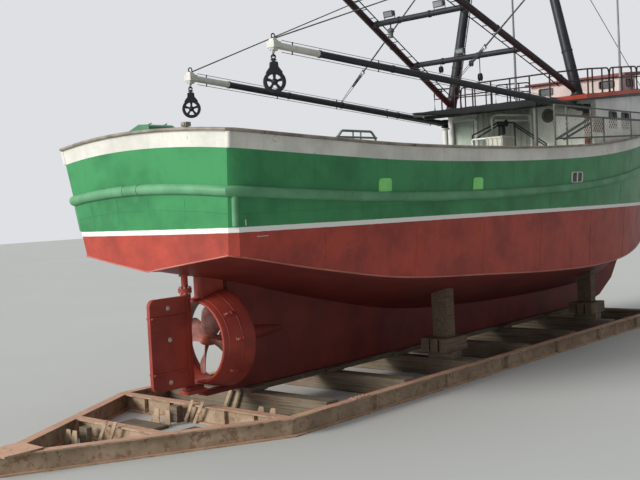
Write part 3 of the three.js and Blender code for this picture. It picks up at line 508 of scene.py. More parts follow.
def hull_material():
    """Red, stripe and green, told apart by the height above the tilted waterline."""
    g = Graph("hull_paint")
    normal, split = plate_dents(g)
    drop = g.times(g.sum("SUBTRACT", split["Y"], TRANSOM), -STRIPE["fall"])
    brush = g.times(g.noise(6.0, 3.0), 0.012)
    above = g.sum("SUBTRACT", g.sum("SUBTRACT", split["Z"], drop), brush)
    low, soft = STRIPE["low"] - 0.006, 0.004
    high = low + STRIPE["thick"]
    red = shade_facing_down(g, red_body(g)[0])
    green = green_body(g)
    in_stripe = g.step(above, low - soft, low + soft)
    over_stripe = g.step(above, high - soft, high + soft)
    colour = g.mix(in_stripe, red, STRIPE_WHITE)
    colour = g.mix(over_stripe, colour, green)
    rough = g.sum("ADD", 0.5, g.times(over_stripe, -0.1))
    return g.finish(colour, rough, normal)


def topside_material():
    """The green alone, for what stands on the topside."""
    g = Graph("topside_paint")
    normal, _ = plate_dents(g)
    return g.finish(green_body(g), 0.4, normal)


def antifouling_material(name, shade_share):
    """Bottom paint; shade_share mixes it towards the dark red of painted shade."""
    g = Graph(name)
    colour, scrape = red_body(g)
    colour = g.mix(shade_share, colour, SHADE_RED)
    grain = g.bump(g.noise(40.0, 5.0, 0.6), 0.25, 0.004)
    return g.finish(colour, 0.55, g.bump(scrape, 0.3, -0.001, grain))


HULL_PAINT = hull_material()
TOPSIDE = topside_material()
# Painted shade: the keel and stern tube are mixed well towards the dark red, the rest of the bottom only a
# little.
ANTIFOULING = antifouling_material("antifouling_paint", 0.12)
KEEL_SHADED = antifouling_material("keel_paint_shaded", 0.6)
print("hull paints made")

# %% [markdown]
# The hull's lines are a small table, as a boatbuilder's offsets are: for each station the
# half breadth and height of the rail and of the chine, and the height of the keel. A smooth
# curve runs through each column (cubic Hermite pieces whose slopes come from the neighbours),
# so the hull can be worked out as finely as wanted. The CAD solid uses the same table.

# %% Hull lines
# Station, rail half and high, chine half and high, keel high, chine shift, keel shift, hollow.
OFFSETS = np.array([
    [0.0, 2.25, 5.14, 1.94, 3.14, 2.865, 0.2, 0.227, 0.0],
    [0.13, 2.315, 5.132, 2.075, 3.112, 2.84, 0.2, 0.227, 0.0],
    [2.0, 2.53, 5.02, 2.31, 2.77, 2.5, 0.06, 0.02, 0.0],
    [4.2, 2.7, 4.92, 2.48, 2.44, 1.96, 0.0, 0.0, 0.0],
    [7.0, 2.82, 4.895, 2.61, 2.25, 1.4, 0.0, 0.0, 0.0],
    [10.0, 2.87, 4.94, 2.64, 2.08, 1.18, 0.0, 0.0, 0.0],
    [12.5, 2.87, 5.05, 2.58, 2.02, 1.1, 0.0, 0.0, 0.02],
    [15.0, 2.72, 5.29, 2.28, 2.11, 1.08, 0.0, 0.0, 0.06],
    [17.5, 2.32, 5.69, 1.68, 2.42, 1.15, -0.1, -0.3, 0.12],
    [19.5, 1.72, 6.13, 0.98, 2.96, 1.45, -0.35, -0.9, 0.14],
    [21.2, 0.95, 6.58, 0.4, 3.75, 2.0, -0.7, -1.9, 0.1],
    [22.5, 0.09, 6.95, 0.06, 4.5, 2.7, -1.0, -2.7, 0.01],
])
RAIL_HALF, RAIL_HIGH, CHINE_HALF, CHINE_HIGH, KEEL_HIGH, CHINE_SHIFT, KEEL_SHIFT, HOLLOW = range(1, 9)
LENGTH = OFFSETS[-1, 0]
BULWARK, WALL, CAMBER, BULGE = 0.95, 0.06, 0.053, 0.15


def line(column, s):
    """Cubic Hermite through one column; the first short span is straight."""
    knots, values = OFFSETS[:, 0], OFFSETS[:, column]
    slope = np.gradient(values, knots)
    slope[1:-1] = (values[2:] - values[:-2]) / (knots[2:] - knots[:-2])
    s = np.asarray(s, float)
    i = np.clip(np.searchsorted(knots, s) - 1, 0, len(knots) - 2)
    span = knots[i + 1] - knots[i]
    t = np.clip((s - knots[i]) / span, 0, 1)
    a, b = values[i], values[i + 1]
    curve = a * (2 * t**3 - 3 * t**2 + 1) + b * (3 * t**2 - 2 * t**3)
    curve = curve + span * (slope[i] * (t**3 - 2 * t**2 + t) + slope[i + 1] * (t**3 - t**2))
    return np.where(i == 0, a + (b - a) * t, curve)


print("beam at station 10:", round(2 * float(line(RAIL_HALF, 10.0)), 2), "m")

# %% [markdown]
# The side is straight from chine to rail, a little hollow towards the bow. Whatever stands
# on it asks the same functions for its place.


# %% Places on the hull
def deck_high(s):
    """The deck's height at the side."""
    return line(RAIL_HIGH, s) - BULWARK


def side_point(s, z, grow=0.0):
    """Starboard plating: straight from chine to rail, less a hollow of 4 h t (1 - t)."""
    s, z = np.broadcast_arrays(np.asarray(s, float), np.asarray(z, float))
    low = line(CHINE_HIGH, s)
    t = (z - low) / (line(RAIL_HIGH, s) - low)
    half = line(CHINE_HALF, s) * (1 - t) + line(RAIL_HALF, s) * t
    half = half - line(HOLLOW, s) * 4 * t * (1 - t) + grow
    return np.stack([half, s + line(CHINE_SHIFT, s) * (1 - t) + TRANSOM, z], axis=-1)


def arched(edge, share, bulge=0.0):
    """A point at a share of the way out: pushed aft and raised by 1 - share squared."""
    arch = 1 - share**2
    x, y, z = edge[..., 0], edge[..., 1], edge[..., 2]
    return np.stack([x * share, y - bulge * arch, z + CAMBER * x * arch], axis=-1)


def at(x, s, z):
    """A place given by its station instead of its Y."""
    return np.array([x, s + TRANSOM, z], float)


print("deck at station 10:", round(float(deck_high(10.0)), 2), "m above the floor")

# %% [markdown]
# The hull is a stack of rings, one for each station: keel, bottom, chine, side, deck edge and
# the arched deck, then the same to port. The transom is its own grid, because it bulges aft:
# its lower edge is the vee of the bottom and its upper edge the arched deck. Deck faces take
# a second material, worn grey-green deck paint.


# %% Hull
def transom_foot(u):
    """Lower edge of the transom from port, -1, to starboard, 1: a vee that bulges aft."""
    half, chine_high, keel_high, chine_shift, keel_shift = OFFSETS[0, CHINE_HALF:HOLLOW]
    out = np.abs(u)
    return np.stack([
        half * u,
        chine_shift * out + keel_shift * (1 - out) - BULGE * (1 - u**2) + TRANSOM,
        chine_high * out + keel_high * (1 - out),
    ], axis=-1)


def hull_shell():
    """The hull's shell, and 0 or 1 for each face: plating or deck."""
    s = np.r_[0.0, 0.13, np.linspace(0.5, LENGTH, 67)][:, None]
    bulge = np.where(s < 0.1, BULGE, 0.0)
    shares = np.linspace(0, 1, 9)
    out = shares[None]
    shift = line(CHINE_SHIFT, s) * out + line(KEEL_SHIFT, s) * (1 - out)
    bottom = np.stack([
        line(CHINE_HALF, s) * out,
        s + shift - bulge * (1 - out**2) + TRANSOM,
        line(CHINE_HIGH, s) * out + line(KEEL_HIGH, s) * (1 - out),
    ], axis=-1)
    up = np.linspace(0, 1, 13)[None, 1:]
    side = side_point(s, line(CHINE_HIGH, s) * (1 - up) + deck_high(s) * up)
    edge = side_point(s, deck_high(s))
    deck = arched(edge, shares[::-1][None, 1:], bulge)
    half = np.concatenate([bottom, side, deck], axis=1)
    ring = np.concatenate([half, (half * (-1, 1, 1))[:, -2:0:-1]], axis=1)
    body = grid(ring, wrap_columns=True)
    count = ring.shape[1]
    column = np.tile(np.arange(count), len(s) - 1)
    first_deck = bottom.shape[1] + side.shape[1] - 1
    on_deck = (column >= first_deck) & (column < count - first_deck)
    u = np.linspace(-1, 1, 2 * len(shares) - 1)
    low, head = transom_foot(u), arched(edge[0], u, BULGE)
    v = np.linspace(0, 1, 13)[:, None, None]
    transom = grid(low[None] * (1 - v) + head[None] * v)
    stem = (ring[-1], [list(range(count))])
    groups = np.concatenate([on_deck.astype(int), np.zeros(len(transom[1]) + 1, int)])
    return merge(body, transom, stem), groups


shell, groups = hull_shell()
hull = piece(
    "hull_plating", shell, [HULL_PAINT, DECK_PAINT], ["hull"], groups=groups,
)
print("hull faces", len(hull.data.polygons))

# %% [markdown]
# Bulwark, cap rail and fender all run right round the boat, so they share one path: across
# the transom, forward along the starboard side, and back along the port side. Each is a
# section carried along that path, held level, with the outward direction taken in plan.

# %% Round-the-boat pieces
ROUND_STATIONS = np.r_[0.13, np.linspace(0.5, LENGTH, 67)]


def around(height_of, extra=0.0):
    """Points on the plating at a height given by station, and outward directions in plan."""
    corner = side_point(0.0, height_of(0.0) + extra)
    transom = arched(corner, np.linspace(-1, 1, 17), BULGE)
    starboard = side_point(ROUND_STATIONS, height_of(ROUND_STATIONS) + extra)
    path = np.vstack([transom, starboard, starboard[::-1] * (-1, 1, 1)])
    along = np.roll(path, -1, axis=0) - np.roll(path, 1, axis=0)
    outward = unit(np.stack([along[:, 1], -along[:, 0], np.zeros(len(path))], axis=1))
    return path, outward


def swept(path, first, second, section):
    """A section at each point of a closed path: point = path + a * first + b * second."""
    points = path[:, None] + section[None, :, :1] * first[:, None] + section[None, :, 1:] * second
    return grid(points, True, True)


def rail_high(s):
    """The rail's height."""
    return line(RAIL_HIGH, s)


BAND = 0.26
levels = np.r_[np.linspace(0, 1, 6) * (BULWARK - BAND), BULWARK] - BULWARK
outer = np.stack([around(rail_high, drop)[0] for drop in levels], axis=1)
inward = around(rail_high)[1][:, None] * WALL
walls = np.concatenate([outer, (outer - inward)[:, ::-1]], axis=1)
column = np.tile(np.arange(walls.shape[1]), walls.shape[0])
band_column = len(levels) - 2
groups = np.where(column < band_column, 0, 1)
walls = grid(walls, True, True)
piece("bulwark_plating", walls, [TOPSIDE, WHITE], ["bulwark"], groups=groups)
cap = np.array([
    [-0.06, 0.004], [0.05, 0.004], [0.064, 0.02], [0.062, 0.036], [0.048, 0.052], [0.024, 0.0585],
    [-0.02, 0.0595], [-0.046, 0.054], [-0.062, 0.038], [-0.065, 0.02],
])
cap_rail = swept(*around(rail_high), UP, cap)
piece("rail_cap", cap_rail, RAIL_STEEL, ["cap_rail"])
FENDER = 0.094
FENDER_GREEN = paint("fender_green", 0x5FA073, chips=0.4)
rub_rail = swept(*around(deck_high), UP, circle(FENDER, 20))
piece("fender", rub_rail, FENDER_GREEN, ["rub_rail"])
print("bulwark, cap and fender made")

# %% [markdown]
# Small parts fixed to the plating need the plating's own directions at that spot. A local
# frame is found by stepping a little along and a little up the surface: the cross product of
# the two steps points outward. Outlines are then drawn flat in that frame.


# %% Fixing things to the side
def side_frame(s, z):
    """Origin, along, up and outward at a place on the starboard side."""
    step = 0.01
    origin = side_point(s, z)
    along = unit(side_point(s + step, z) - origin)
    up = unit(side_point(s, z + step) - origin)
    outward = unit(np.cross(along, up))
    if outward[0] < 0:
        outward = -outward
    return origin, along, up, outward


def in_frame(shell, frame_of):
    """A shell drawn with X outward, Y along and Z up, carried to a place on the side."""
    origin, along, up, outward = frame_of
    points, faces = shell
    return origin + points[:, :1] * outward + points[:, 1:2] * along + points[:, 2:] * up, faces


def rounded(wide, high, low_corner, high_corner, count=6):
    """Outline of a plate: quarter circles at each corner, anticlockwise."""
    turn = np.linspace(0, np.pi / 2, count)
    corners = []
    for k, (cx, cz, r) in enumerate([
        (1, 1, high_corner), (-1, 1, high_corner), (-1, -1, low_corner), (1, -1, low_corner),
    ]):
        angle = turn + k * np.pi / 2
        corners.append(np.stack([
            cx * (wide / 2 - r) + r * np.cos(angle), cz * (high / 2 - r) + r * np.sin(angle),
        ], axis=1))
    return np.vstack(corners)


print("outward at station 3.6:", side_frame(3.6, 4.2)[3].round(2))

# %% [markdown]
# Low on the side are two freeing-port covers in a brighter green, and further forward a
# scupper in a white frame with a bar across it. They are flat plates with rounded corners, and
# the frame is a round section swept along the same outline. Each is mirrored to port.

# %% Covers and scuppers
COVER_GREEN = paint("cover_green", 0x8EEA82)
OPENING_SHADE = paint("opening_painted_shade", 0x3C4842, chips=0.2)
covers = []
for s, z, wide, high in ((3.63, 4.205, 0.36, 0.25), (6.61, 4.175, 0.36, 0.25)):
    outline = rounded(wide, high, 0.012, 0.07)
    covers.append(in_frame(plate(outline, (0.0, 0.014)), side_frame(s, z)))
piece("freeing_port_covers", both(merge(*covers)), COVER_GREEN, bevel=0.003)

SCUPPER = {"s": 11.0, "z": 4.25, "wide": 0.54, "high": 0.24}
outline = rounded(SCUPPER["wide"], SCUPPER["high"], 0.05, 0.05)
path = np.stack([np.zeros(len(outline)), outline[:, 0], outline[:, 1]], axis=1)
here = side_frame(SCUPPER["s"], SCUPPER["z"])
scupper_frame = swept(path, unit(path), ATHWART, circle(0.024, 10))
# Painted shade: a dark plate inside the frame stands for the opening.
hole_shade_plate = plate(outline, (-0.01, 0.006))
piece("scupper_frames", both(in_frame(scupper_frame, here)), WHITE)
piece("scupper_hole_shade", both(in_frame(hole_shade_plate, here)), OPENING_SHADE)
bar_across = plate(rounded(0.05, SCUPPER["high"], 0.004, 0.004), (0.0, 0.02))
piece("scupper_bars", both(in_frame(bar_across, here)), WHITE, bevel=0.004)
print(len(covers), "covers a side and a scupper")

# %% [markdown]
# Plates are welded edge to edge. A thin pipe half sunk in the plating gives the bead a real
# edge that catches light. Beads run up the frames and along the seams, and thicker ones
# follow the chine and the transom's foot in a paler red: scuffing, and a painted highlight along those edges.


# %% Weld beads
def bead(path, radius):
    """A thin weld bead along a path on the plating."""
    return pipe(path, radius, sides=6)


def transom_row(z, reach=0.985, count=25):
    """Points on the transom at a height, from port to starboard."""
    share = np.linspace(-reach, reach, count)
    return arched(side_point(0.0, z), share, BULGE)


def upright_bead(s, low, high, radius, count=8):
    """A bead straight up the plating at a station, on both sides."""
    z = np.linspace(low, high, count)
    return both(bead(side_point(np.full(count, s), z), radius))


SEAM_HIGH = 3.83
frames = [bead(transom_row(SEAM_HIGH), 0.007)]
for share in (-0.72, -0.31, 0.12, 0.55):
    z = np.linspace(STRIPE["low"] + 0.1, 4.06, 6)
    column = arched(side_point(np.zeros(6), z), np.full(6, share), BULGE)
    frames.append(bead(column, 0.005))
for s in (1.22, 3.05, 5.1, 7.4, 9.7, 11.6, 13.9, 16.2):
    frames.append(upright_bead(s, STRIPE["low"] + 0.1, 4.02, 0.005))
    frames.append(upright_bead(s + 0.6, deck_high(s) + 0.1, rail_high(s) - BAND, 0.004))
s = np.linspace(0.16, 17.0, 60)
frames.append(both(bead(side_point(s, SEAM_HIGH - 0.02 + 0.0 * s), 0.004)))
piece("weld_beads", frames, TOPSIDE)

frames = []
for s in (2.1, 4.6, 6.9, 9.3, 11.9, 14.4, 16.8):
    frames.append(upright_bead(s, line(CHINE_HIGH, s) + 0.02, STRIPE["low"] - 0.11, 0.004))
s = np.linspace(0.0, 19.0, 80)
chine = side_point(s, line(CHINE_HIGH, s))
edges = [both(bead(chine, 0.018))]
edges.append(bead(transom_foot(np.linspace(-1, 1, 25)), 0.014))
piece("bottom_weld_beads", frames, ANTIFOULING)
# SCUFF_AND_HIGHLIGHT_RED is scuffing and a painted highlight along the chine and the transom's foot.
SCUFF_AND_HIGHLIGHT_RED = paint("scuffed_red_and_painted_highlight", 0xBE6D60)
piece("bottom_edge_beads", edges, SCUFF_AND_HIGHLIGHT_RED)
print(len(frames), "beads under the stripe")

# %% [markdown]
# Each stern corner has a rounded pipe for a post, white at the bulwark and green below it.
# Thin white draught lines are brushed on under the stripe, and the rub rail shows two rings
# where its lengths were welded.

# %% Posts, draught lines and rings
post_ends = (STRIPE["low"] + 0.1, deck_high(0.0) - 0.06)
corner_post = pipe([side_point(0.03, z) for z in (5.14 - BAND, 5.145)], 0.052, 16, rounded=0.015)
green_post = pipe([side_point(0.09, z) for z in post_ends], 0.055, 16, rounded=0.015)
piece("quarter_posts", both(green_post), FENDER_GREEN)
piece("stern_corner_posts", both(corner_post), WHITE)
s = np.linspace(0.5, 0.75, 4)
marks = [both(bead(side_point(s, 3.43 - STRIPE["fall"] * s, 0.001), 0.006))]
marks.append(bead(transom_row(3.44, 0.98, 41)[8:26], 0.006))
marks.append(both(bead(side_point(np.full(2, 0.27), np.array([3.62, 3.72]), 0.002), 0.01)))
piece("draught_lines", marks, WHITE)
rings = []
for share in (-0.16, 0.03):
    z = deck_high(0.0)
    centre = arched(side_point(0.0, z), np.array(share), BULGE)
    profile = circle(0.006, 8) + (FENDER + 0.002, 0.0)
    rings.append(turned(profile, centre, ATHWART, 32))
piece("fender_weld_rings", rings, FENDER_GREEN)
print("side details made")

# %% [markdown]
# The skeg is one deep plate on the centreline. A smoother body is turned for the stern tube,
# the nozzle and the hub: a closed profile of radius and distance along the shaft, swept
# round. A closed curve through a few points (Catmull-Rom) gives each profile its soft edges.


# %% Keel, nozzle and shaft
def through(points, count=5):
    """Closed Catmull-Rom curve: between two points, a cubic set by their neighbours."""
    p = np.asarray(points, float)
    before, after, beyond = np.roll(p, 1, 0), np.roll(p, -1, 0), np.roll(p, -2, 0)
    t = np.linspace(0, 1, count, endpoint=False)[None, :, None]
    a, b, c, d = before[:, None], p[:, None], after[:, None], beyond[:, None]
    curve = 0.5 * (2 * b + (c - a) * t + (2 * a - 5 * b + 4 * c - d) * t**2 + (3 * b - a - 3 * c + d) * t**3)
    return curve.reshape(-1, p.shape[1])


SHAFT = at(0, 0, 1.49)
keel_outline = np.array([
    [1.85, 2.95], [1.85, 0.56], [1.15, 0.56], [1.15, 0.7], [0.8, 0.7], [0.8, 0.61], [1.06, 0.6],
    [1.2, 0.47], [16.9, 0.47], [17.8, 0.64], [18.7, 1.1], [19.3, 1.75], [19.85, 2.65], [19.7, 2.95],
]) + (TRANSOM, 0)
stern_tube = turned([[0, 1.79], [0.13, 1.79], [0.15, 1.82], [0.185, 2.1], [0.19, 2.3], [0.16, 2.8],
                     [0.12, 3.3], [0, 3.3]], SHAFT, FORWARD)
keel = plate(keel_outline, (-0.11, 0.11))
piece("keel_plate", keel, KEEL_SHADED, ["keel"], bevel=0.012)
piece("stern_tube", stern_tube, KEEL_SHADED)


def painted_light_nozzle_inside():
    """Painted light: the red is lightened inside the ring, and pale grey high up, for light reflected there.
    """
    g = Graph("nozzle_inside")
    split = g.add("SeparateXYZ", {"Vector": g.place}).outputs
    red, _ = red_body(g)
    # Painted light: pale grey high inside the ring, and a lighter red low down.
    pale = g.mix(g.step(g.noise(3.0, 5.0), 0.3, 0.7), linear(0xA98F90), linear(0x8E6E6C))
    colour = g.mix(g.step(split["Z"], 1.2, 1.75), g.mix(0.35, red, RED_PALE), pale)
    return g.finish(colour, 0.55, g.bump(g.noise(35.0, 5.0), 0.2, 0.004))


nozzle_loop = through([
    [0.722, 1.095], [0.752, 1.09], [0.778, 1.13], [0.86, 1.42], [0.92, 1.68], [0.917, 1.74],
    [0.88, 1.752], [0.8, 1.68], [0.722, 1.52], [0.715, 1.4], [0.717, 1.2],
], 4)
NOZZLE_SIDES, OUTER_COLUMNS = 72, 26
column = np.tile(np.arange(len(nozzle_loop)), NOZZLE_SIDES)
nozzle = turned(nozzle_loop, SHAFT, FORWARD, NOZZLE_SIDES)
piece("nozzle_ring", nozzle, [ANTIFOULING, painted_light_nozzle_inside()], ["nozzle"],
      groups=np.where(column < OUTER_COLUMNS, 0, 1))
head_box = block(at(-0.11, 1.2, 2.2), at(0.11, 1.76, 2.8))
piece("nozzle_head_box", head_box, ANTIFOULING, bevel=0.02)
rings = [turned(circle(0.007, 8) + (r, y), SHAFT, FORWARD, 72) for r, y in ((0.797, 1.2), (0.868, 1.46))]
piece("nozzle_weld_rings", rings, ANTIFOULING)
print("nozzle", len(nozzle[1]), "faces")

# %% [markdown]
# Sacrificial anodes are cast zinc pads on two studs. They are shallow domes, pale against
# the red, on the rudder's sides and round the nozzle.

# %% Anodes
ZINC = paint("cast_zinc", 0xB9B4AC, chips=0.2, streaks=0.1, roughness=0.6, patch=8.0)


def dome(centre, axis, radius, high, sides=20):
    """A quarter-ellipse profile turned about the axis, closed underneath."""
    angle = np.linspace(0, np.pi / 2, 7)
    profile = np.stack([radius * np.cos(angle), high * np.sin(angle)], axis=1)
    profile = np.vstack([[0, -0.004], [radius, -0.004], profile])
    return turned(profile, centre, axis, sides)


pads, studs = [], []
for s, z in ((0.43, 2.19), (0.44, 1.62), (0.41, 0.86)):
    for side in (-1, 1):
        pads.append(dome(at(side * 0.062, s, z), (side, 0, 0), 0.045, 0.026))
        studs.append(dome(at(side * 0.085, s, z), (side, 0, 0), 0.013, 0.01, 6))
piece("rudder_anodes", merge(*pads, *studs), ZINC, body="rudder")
lugs, tips = [], []
for angle, s in ((38, 1.28), (4, 1.36), (-38, 1.33), (142, 1.28), (176, 1.36), (-142, 1.33)):
    out = np.array([np.cos(radians(angle)), 0, np.sin(radians(angle))])
    for step in (0.0, 0.06, 0.12):
        radius = 0.748 + (s + step - 1.09) * 0.33
        lugs.append(dome(SHAFT + (0, s + step, 0) + out * radius, out, 0.045, 0.032))
    tips.append(dome(SHAFT + (0, s, 0) + out * (0.776 + (s - 1.09) * 0.33), out, 0.02, 0.012, 10))
piece("nozzle_lugs", lugs, ANTIFOULING)
piece("nozzle_anodes", tips, ZINC)
print(len(lugs), "lugs round the nozzle")

# %% [markdown]
# A propeller blade is a thin foil whose chord, thickness and pitch change with the radius.
# The blade is a grid of foil outline by radius: each foil is laid flat, turned to its pitch
# and lifted to its radius. Four copies are turned about the shaft and share one hub.

# %% Propeller
BRONZE = paint("old_bronze", 0x9A6258, chips=0.6, streaks=0.0, roughness=0.38, patch=5.0, light=0.2)
HUB_RED = paint("hub_red", 0xC06A55, streaks=0.0, roughness=0.35, patch=6.0)
# Radius, chord, thickness, pitch in degrees.
BLADE = np.array([
    [0.08, 0.26, 0.06, 62], [0.3, 0.4, 0.036, 42], [0.52, 0.47, 0.022, 30],
    [0.64, 0.38, 0.014, 25], [0.685, 0.2, 0.008, 23],
])
PROP_STATION = 1.41


def blade_shell():
    """Foil outlines by radius, each turned by its pitch: a grid closed at root and tip."""
    radius = np.linspace(BLADE[0, 0], BLADE[-1, 0], 18)
    chord, thick, pitch = (np.interp(radius, BLADE[:, 0], BLADE[:, k]) for k in (1, 2, 3))
    chord = chord * np.sqrt(np.clip((0.7 - radius) / 0.12, 0.1, 1.0))
    angle = np.linspace(0, 2 * np.pi, 24, endpoint=False)
    foil = np.stack([0.5 * np.cos(angle), 0.5 * np.sin(angle) * (1.0 - 0.25 * np.cos(angle))], axis=1)
    u = foil[None, :, 0] * chord[:, None]
    v = foil[None, :, 1] * thick[:, None]
    a = np.radians(pitch)[:, None]
    out = np.broadcast_to(radius[:, None], u.shape)
    return closed(np.stack([u * np.cos(a) - v * np.sin(a), u * np.sin(a) + v * np.cos(a), out], -1))


blade = moved(blade_shell(), SHAFT + (0, PROP_STATION, 0))
blades = [turn_about(blade, SHAFT, FORWARD, angle) for angle in (20, 110, 200, 290)]
piece("propeller_blades", blades, BRONZE, ["propeller"], body="propeller")
hub = turned([[0, 1.21], [0.03, 1.213], [0.06, 1.235], [0.085, 1.28], [0.105, 1.34], [0.118, 1.45],
              [0.118, 1.51], [0.06, 1.53], [0.06, 1.84], [0, 1.84]], SHAFT, FORWARD)
piece("propeller_hub", hub, HUB_RED, body="propeller")
print(len(blades), "blades of", len(blade[1]), "faces")

# %% [markdown]
# The rudder is a welded box: two flat sides a little thicker amidships, with rounded aft
# corners. Stations run fore and aft; at each, the section is a rectangle whose height follows
# the corner's quarter circle. Flat stiffening bars are laid on both sides.

# %% Rudder
RUDDER = {"aft": 0.03, "fore": 0.98, "low": 0.715, "high": 2.36, "corner": 0.13}


def rudder_shell():
    """Four-cornered sections from aft to fore."""
    turn = np.linspace(0, np.pi / 2, 8)
    y = np.concatenate([RUDDER["aft"] + RUDDER["corner"] * (1 - np.cos(turn)), [0.5, 0.8, RUDDER["fore"]]])
    cut_in = np.concatenate([RUDDER["corner"] * (1 - np.sin(turn)), [0, 0, 0]])
    half = np.interp(y, [0.03, 0.5, 0.8, 0.98], [0.04, 0.066, 0.07, 0.045])
    low, high = RUDDER["low"] + cut_in, RUDDER["high"] - cut_in
    ring = np.stack([
        np.stack([side * half, y + TRANSOM, z], axis=-1)
        for side, z in ((-1, low), (1, low), (1, high), (-1, high))
    ], axis=1)
    return closed(ring)


piece("rudder_plate", rudder_shell(), ANTIFOULING, ["rudder"], body="rudder", bevel=0.012)
bars = [block(at(-0.086, 0.05, z - 0.018), at(0.086, 0.9, z + 0.018)) for z in (1.03, 2.03)]
bars.append(block(at(-0.084, 0.845, 0.78), at(0.084, 0.88, 2.3)))
bars.append(block(at(-0.075, 0.9, 2.3), at(0.075, 0.975, 2.38)))
piece("rudder_bars", bars, ANTIFOULING, body="rudder", bevel=0.006)
axis_at = at(0, 0.9, 0)
stock = turned(peg(0.062, 2.3, 2.712), axis_at, UP, 28)
flange = turned([[0.05, 2.42], [0.125, 2.42], [0.125, 2.455], [0.118, 2.46], [0.125, 2.465], [0.125, 2.5],
                 [0.05, 2.5]], axis_at, UP, 36)
stock_collar = turned([[0, 2.36], [0.09, 2.36], [0.1, 2.38], [0.085, 2.42], [0, 2.42]], axis_at, UP, 28)
heel = turned([[0, 0.64], [0.05, 0.64], [0.055, 0.66], [0.055, 0.72], [0, 0.72]], axis_at, UP, 24)
piece("rudder_stock", merge(stock, flange, stock_collar, heel), ANTIFOULING, body="rudder")
bolts = []
for angle in np.arange(0, 360, 45):
    place = axis_at + (0.1 * np.cos(np.radians(angle)), 0.1 * np.sin(np.radians(angle)), 0)
    bolts.append(turned(peg(0.017, 2.395, 2.53), place, UP, 6))
piece("coupling_bolts", bolts, ZINC, body="rudder")
shoe = block(at(-0.13, 0.74, 0.56), at(0.13, 1.2, 0.635))
piece("heel_shoe", shoe, ANTIFOULING, bevel=0.012)
tube = turned([[0.066, 2.716], [0.1, 2.716], [0.1, 2.9], [0.066, 2.9]], axis_at, UP, 28)
piece("rudder_trunk", tube, ANTIFOULING)
print("stern gear made")

# %% [markdown]
# The deckhouse stays as packed, with its own paint: pale grey sides, and a greener aft wall
# that the paint tells apart by how far forward it is. The aft wall is dressed with a white
# band and a run of fluted panels. Fluting is one wave carried straight up: across the wall
# the depth is a smoothed square wave, so ribs are flat-topped with sloping sides.

# %% Deckhouse
HOUSE_AFT = 13.3
HOUSE = paint("house_paint", 0xEDF3E6, streaks=0.45, fore=0xF2F2F0)
ROOF_RED = paint("roof_red_paint", 0x7C3330, chips=0.5, streaks=0.4)


def repaint(node, material):
    """Gives a packed node another material."""
    cad[node].data.materials.clear()
    cad[node].data.materials.append(material)


repaint("deckhouse_walls", HOUSE)
repaint("wheelhouse_walls", paint("wheelhouse_paint", 0xD6CBC6, streaks=0.5))
DOOR = {"port": -2.09, "starboard": -1.44, "sill": 4.56, "head": 6.06}
DOOR_PAINT = paint("door_paint", 0xB4C3B4, chips=0.4, streaks=0.4)
PANEL_PAINT = paint("panel_paint", 0xAEB8A8, chips=0.5, streaks=0.7)


def deck_low(s):
    """Underside of the sloping boat deck at a station."""
    return 6.111 + 0.096 * (s - 10.9)


FLUTE_WIDE, FLUTE_DEEP = 0.17, 0.013
x = np.linspace(-1.3, 0.38, 170)
z = np.linspace(4.35, 6.32, 9)[:, None]
wave = np.tanh(3.0 * np.sin(2 * np.pi * x / FLUTE_WIDE)) * FLUTE_DEEP
depths = HOUSE_AFT - 0.018 - wave + TRANSOM, HOUSE_AFT - 0.002 + TRANSOM
front, back = (np.stack(np.broadcast_arrays(x, y, z), axis=-1) for y in depths)
panels = closed(np.concatenate([front, back[:, ::-1]], axis=1))
piece("fluted_panels", panels, PANEL_PAINT)
print("fluted panels", round(x[-1] - x[0], 2), "m wide")

# %% [markdown]
# The grey-green door hangs on its starboard edge. Open, it lies back over the wall there, so
# the white trim is thin on that side. Trim and leaf are boxes with softened edges.

# %% Door and frame
FRAME_HIGH = DOOR["head"] + 0.09
frame_boxes = [
    block(at(-2.29, 13.28, 4.35), at(DOOR["port"], 13.3, 6.3)),
    block(at(DOOR["port"] - 0.05, 13.24, DOOR["sill"]), at(DOOR["port"] + 0.004, 13.3, FRAME_HIGH)),
    block(at(DOOR["port"], 13.24, DOOR["head"] + 0.004), at(-1.31, 13.3, FRAME_HIGH)),
    block(at(-1.36, 13.272, DOOR["sill"]), at(-1.31, 13.3, DOOR["head"] + 0.004)),
]
piece("door_frame", frame_boxes, WHITE, bevel=0.006)
leaf_port, leaf_starboard = DOOR["port"] + 0.008, DOOR["starboard"] - 0.008
leaf = [
    block(at(leaf_port, 13.295, DOOR["sill"] + 0.008), at(leaf_starboard, 13.335, DOOR["head"] - 0.008)),
    block(at(leaf_port + 0.062, 13.287, 4.66), at(leaf_starboard - 0.082, 13.297, 5.24)),
    block(at(leaf_port + 0.062, 13.287, 5.34), at(leaf_starboard - 0.082, 13.297, 5.96)),
    block(at(-1.5, 13.27, 4.64), at(-1.444, 13.297, 5.98)),
    pipe([at(-1.44, 13.278, 4.62), at(-1.44, 13.278, 6.0)], 0.0155, 14),
]
for z in (4.85, 5.35, 5.85):
    leaf.append(pipe([at(-2.06, 13.272, z), at(-1.97, 13.272, z), at(-1.955, 13.285, z)], 0.01, 8))
door = "deckhouse_door"
piece("door_leaf", leaf, DOOR_PAINT, [door], body=door, bevel=0.004)
print("door", round(leaf_starboard - leaf_port, 3), "m wide")

# %% [markdown]
# The porthole's ring and pane are round, so each is one turned profile.

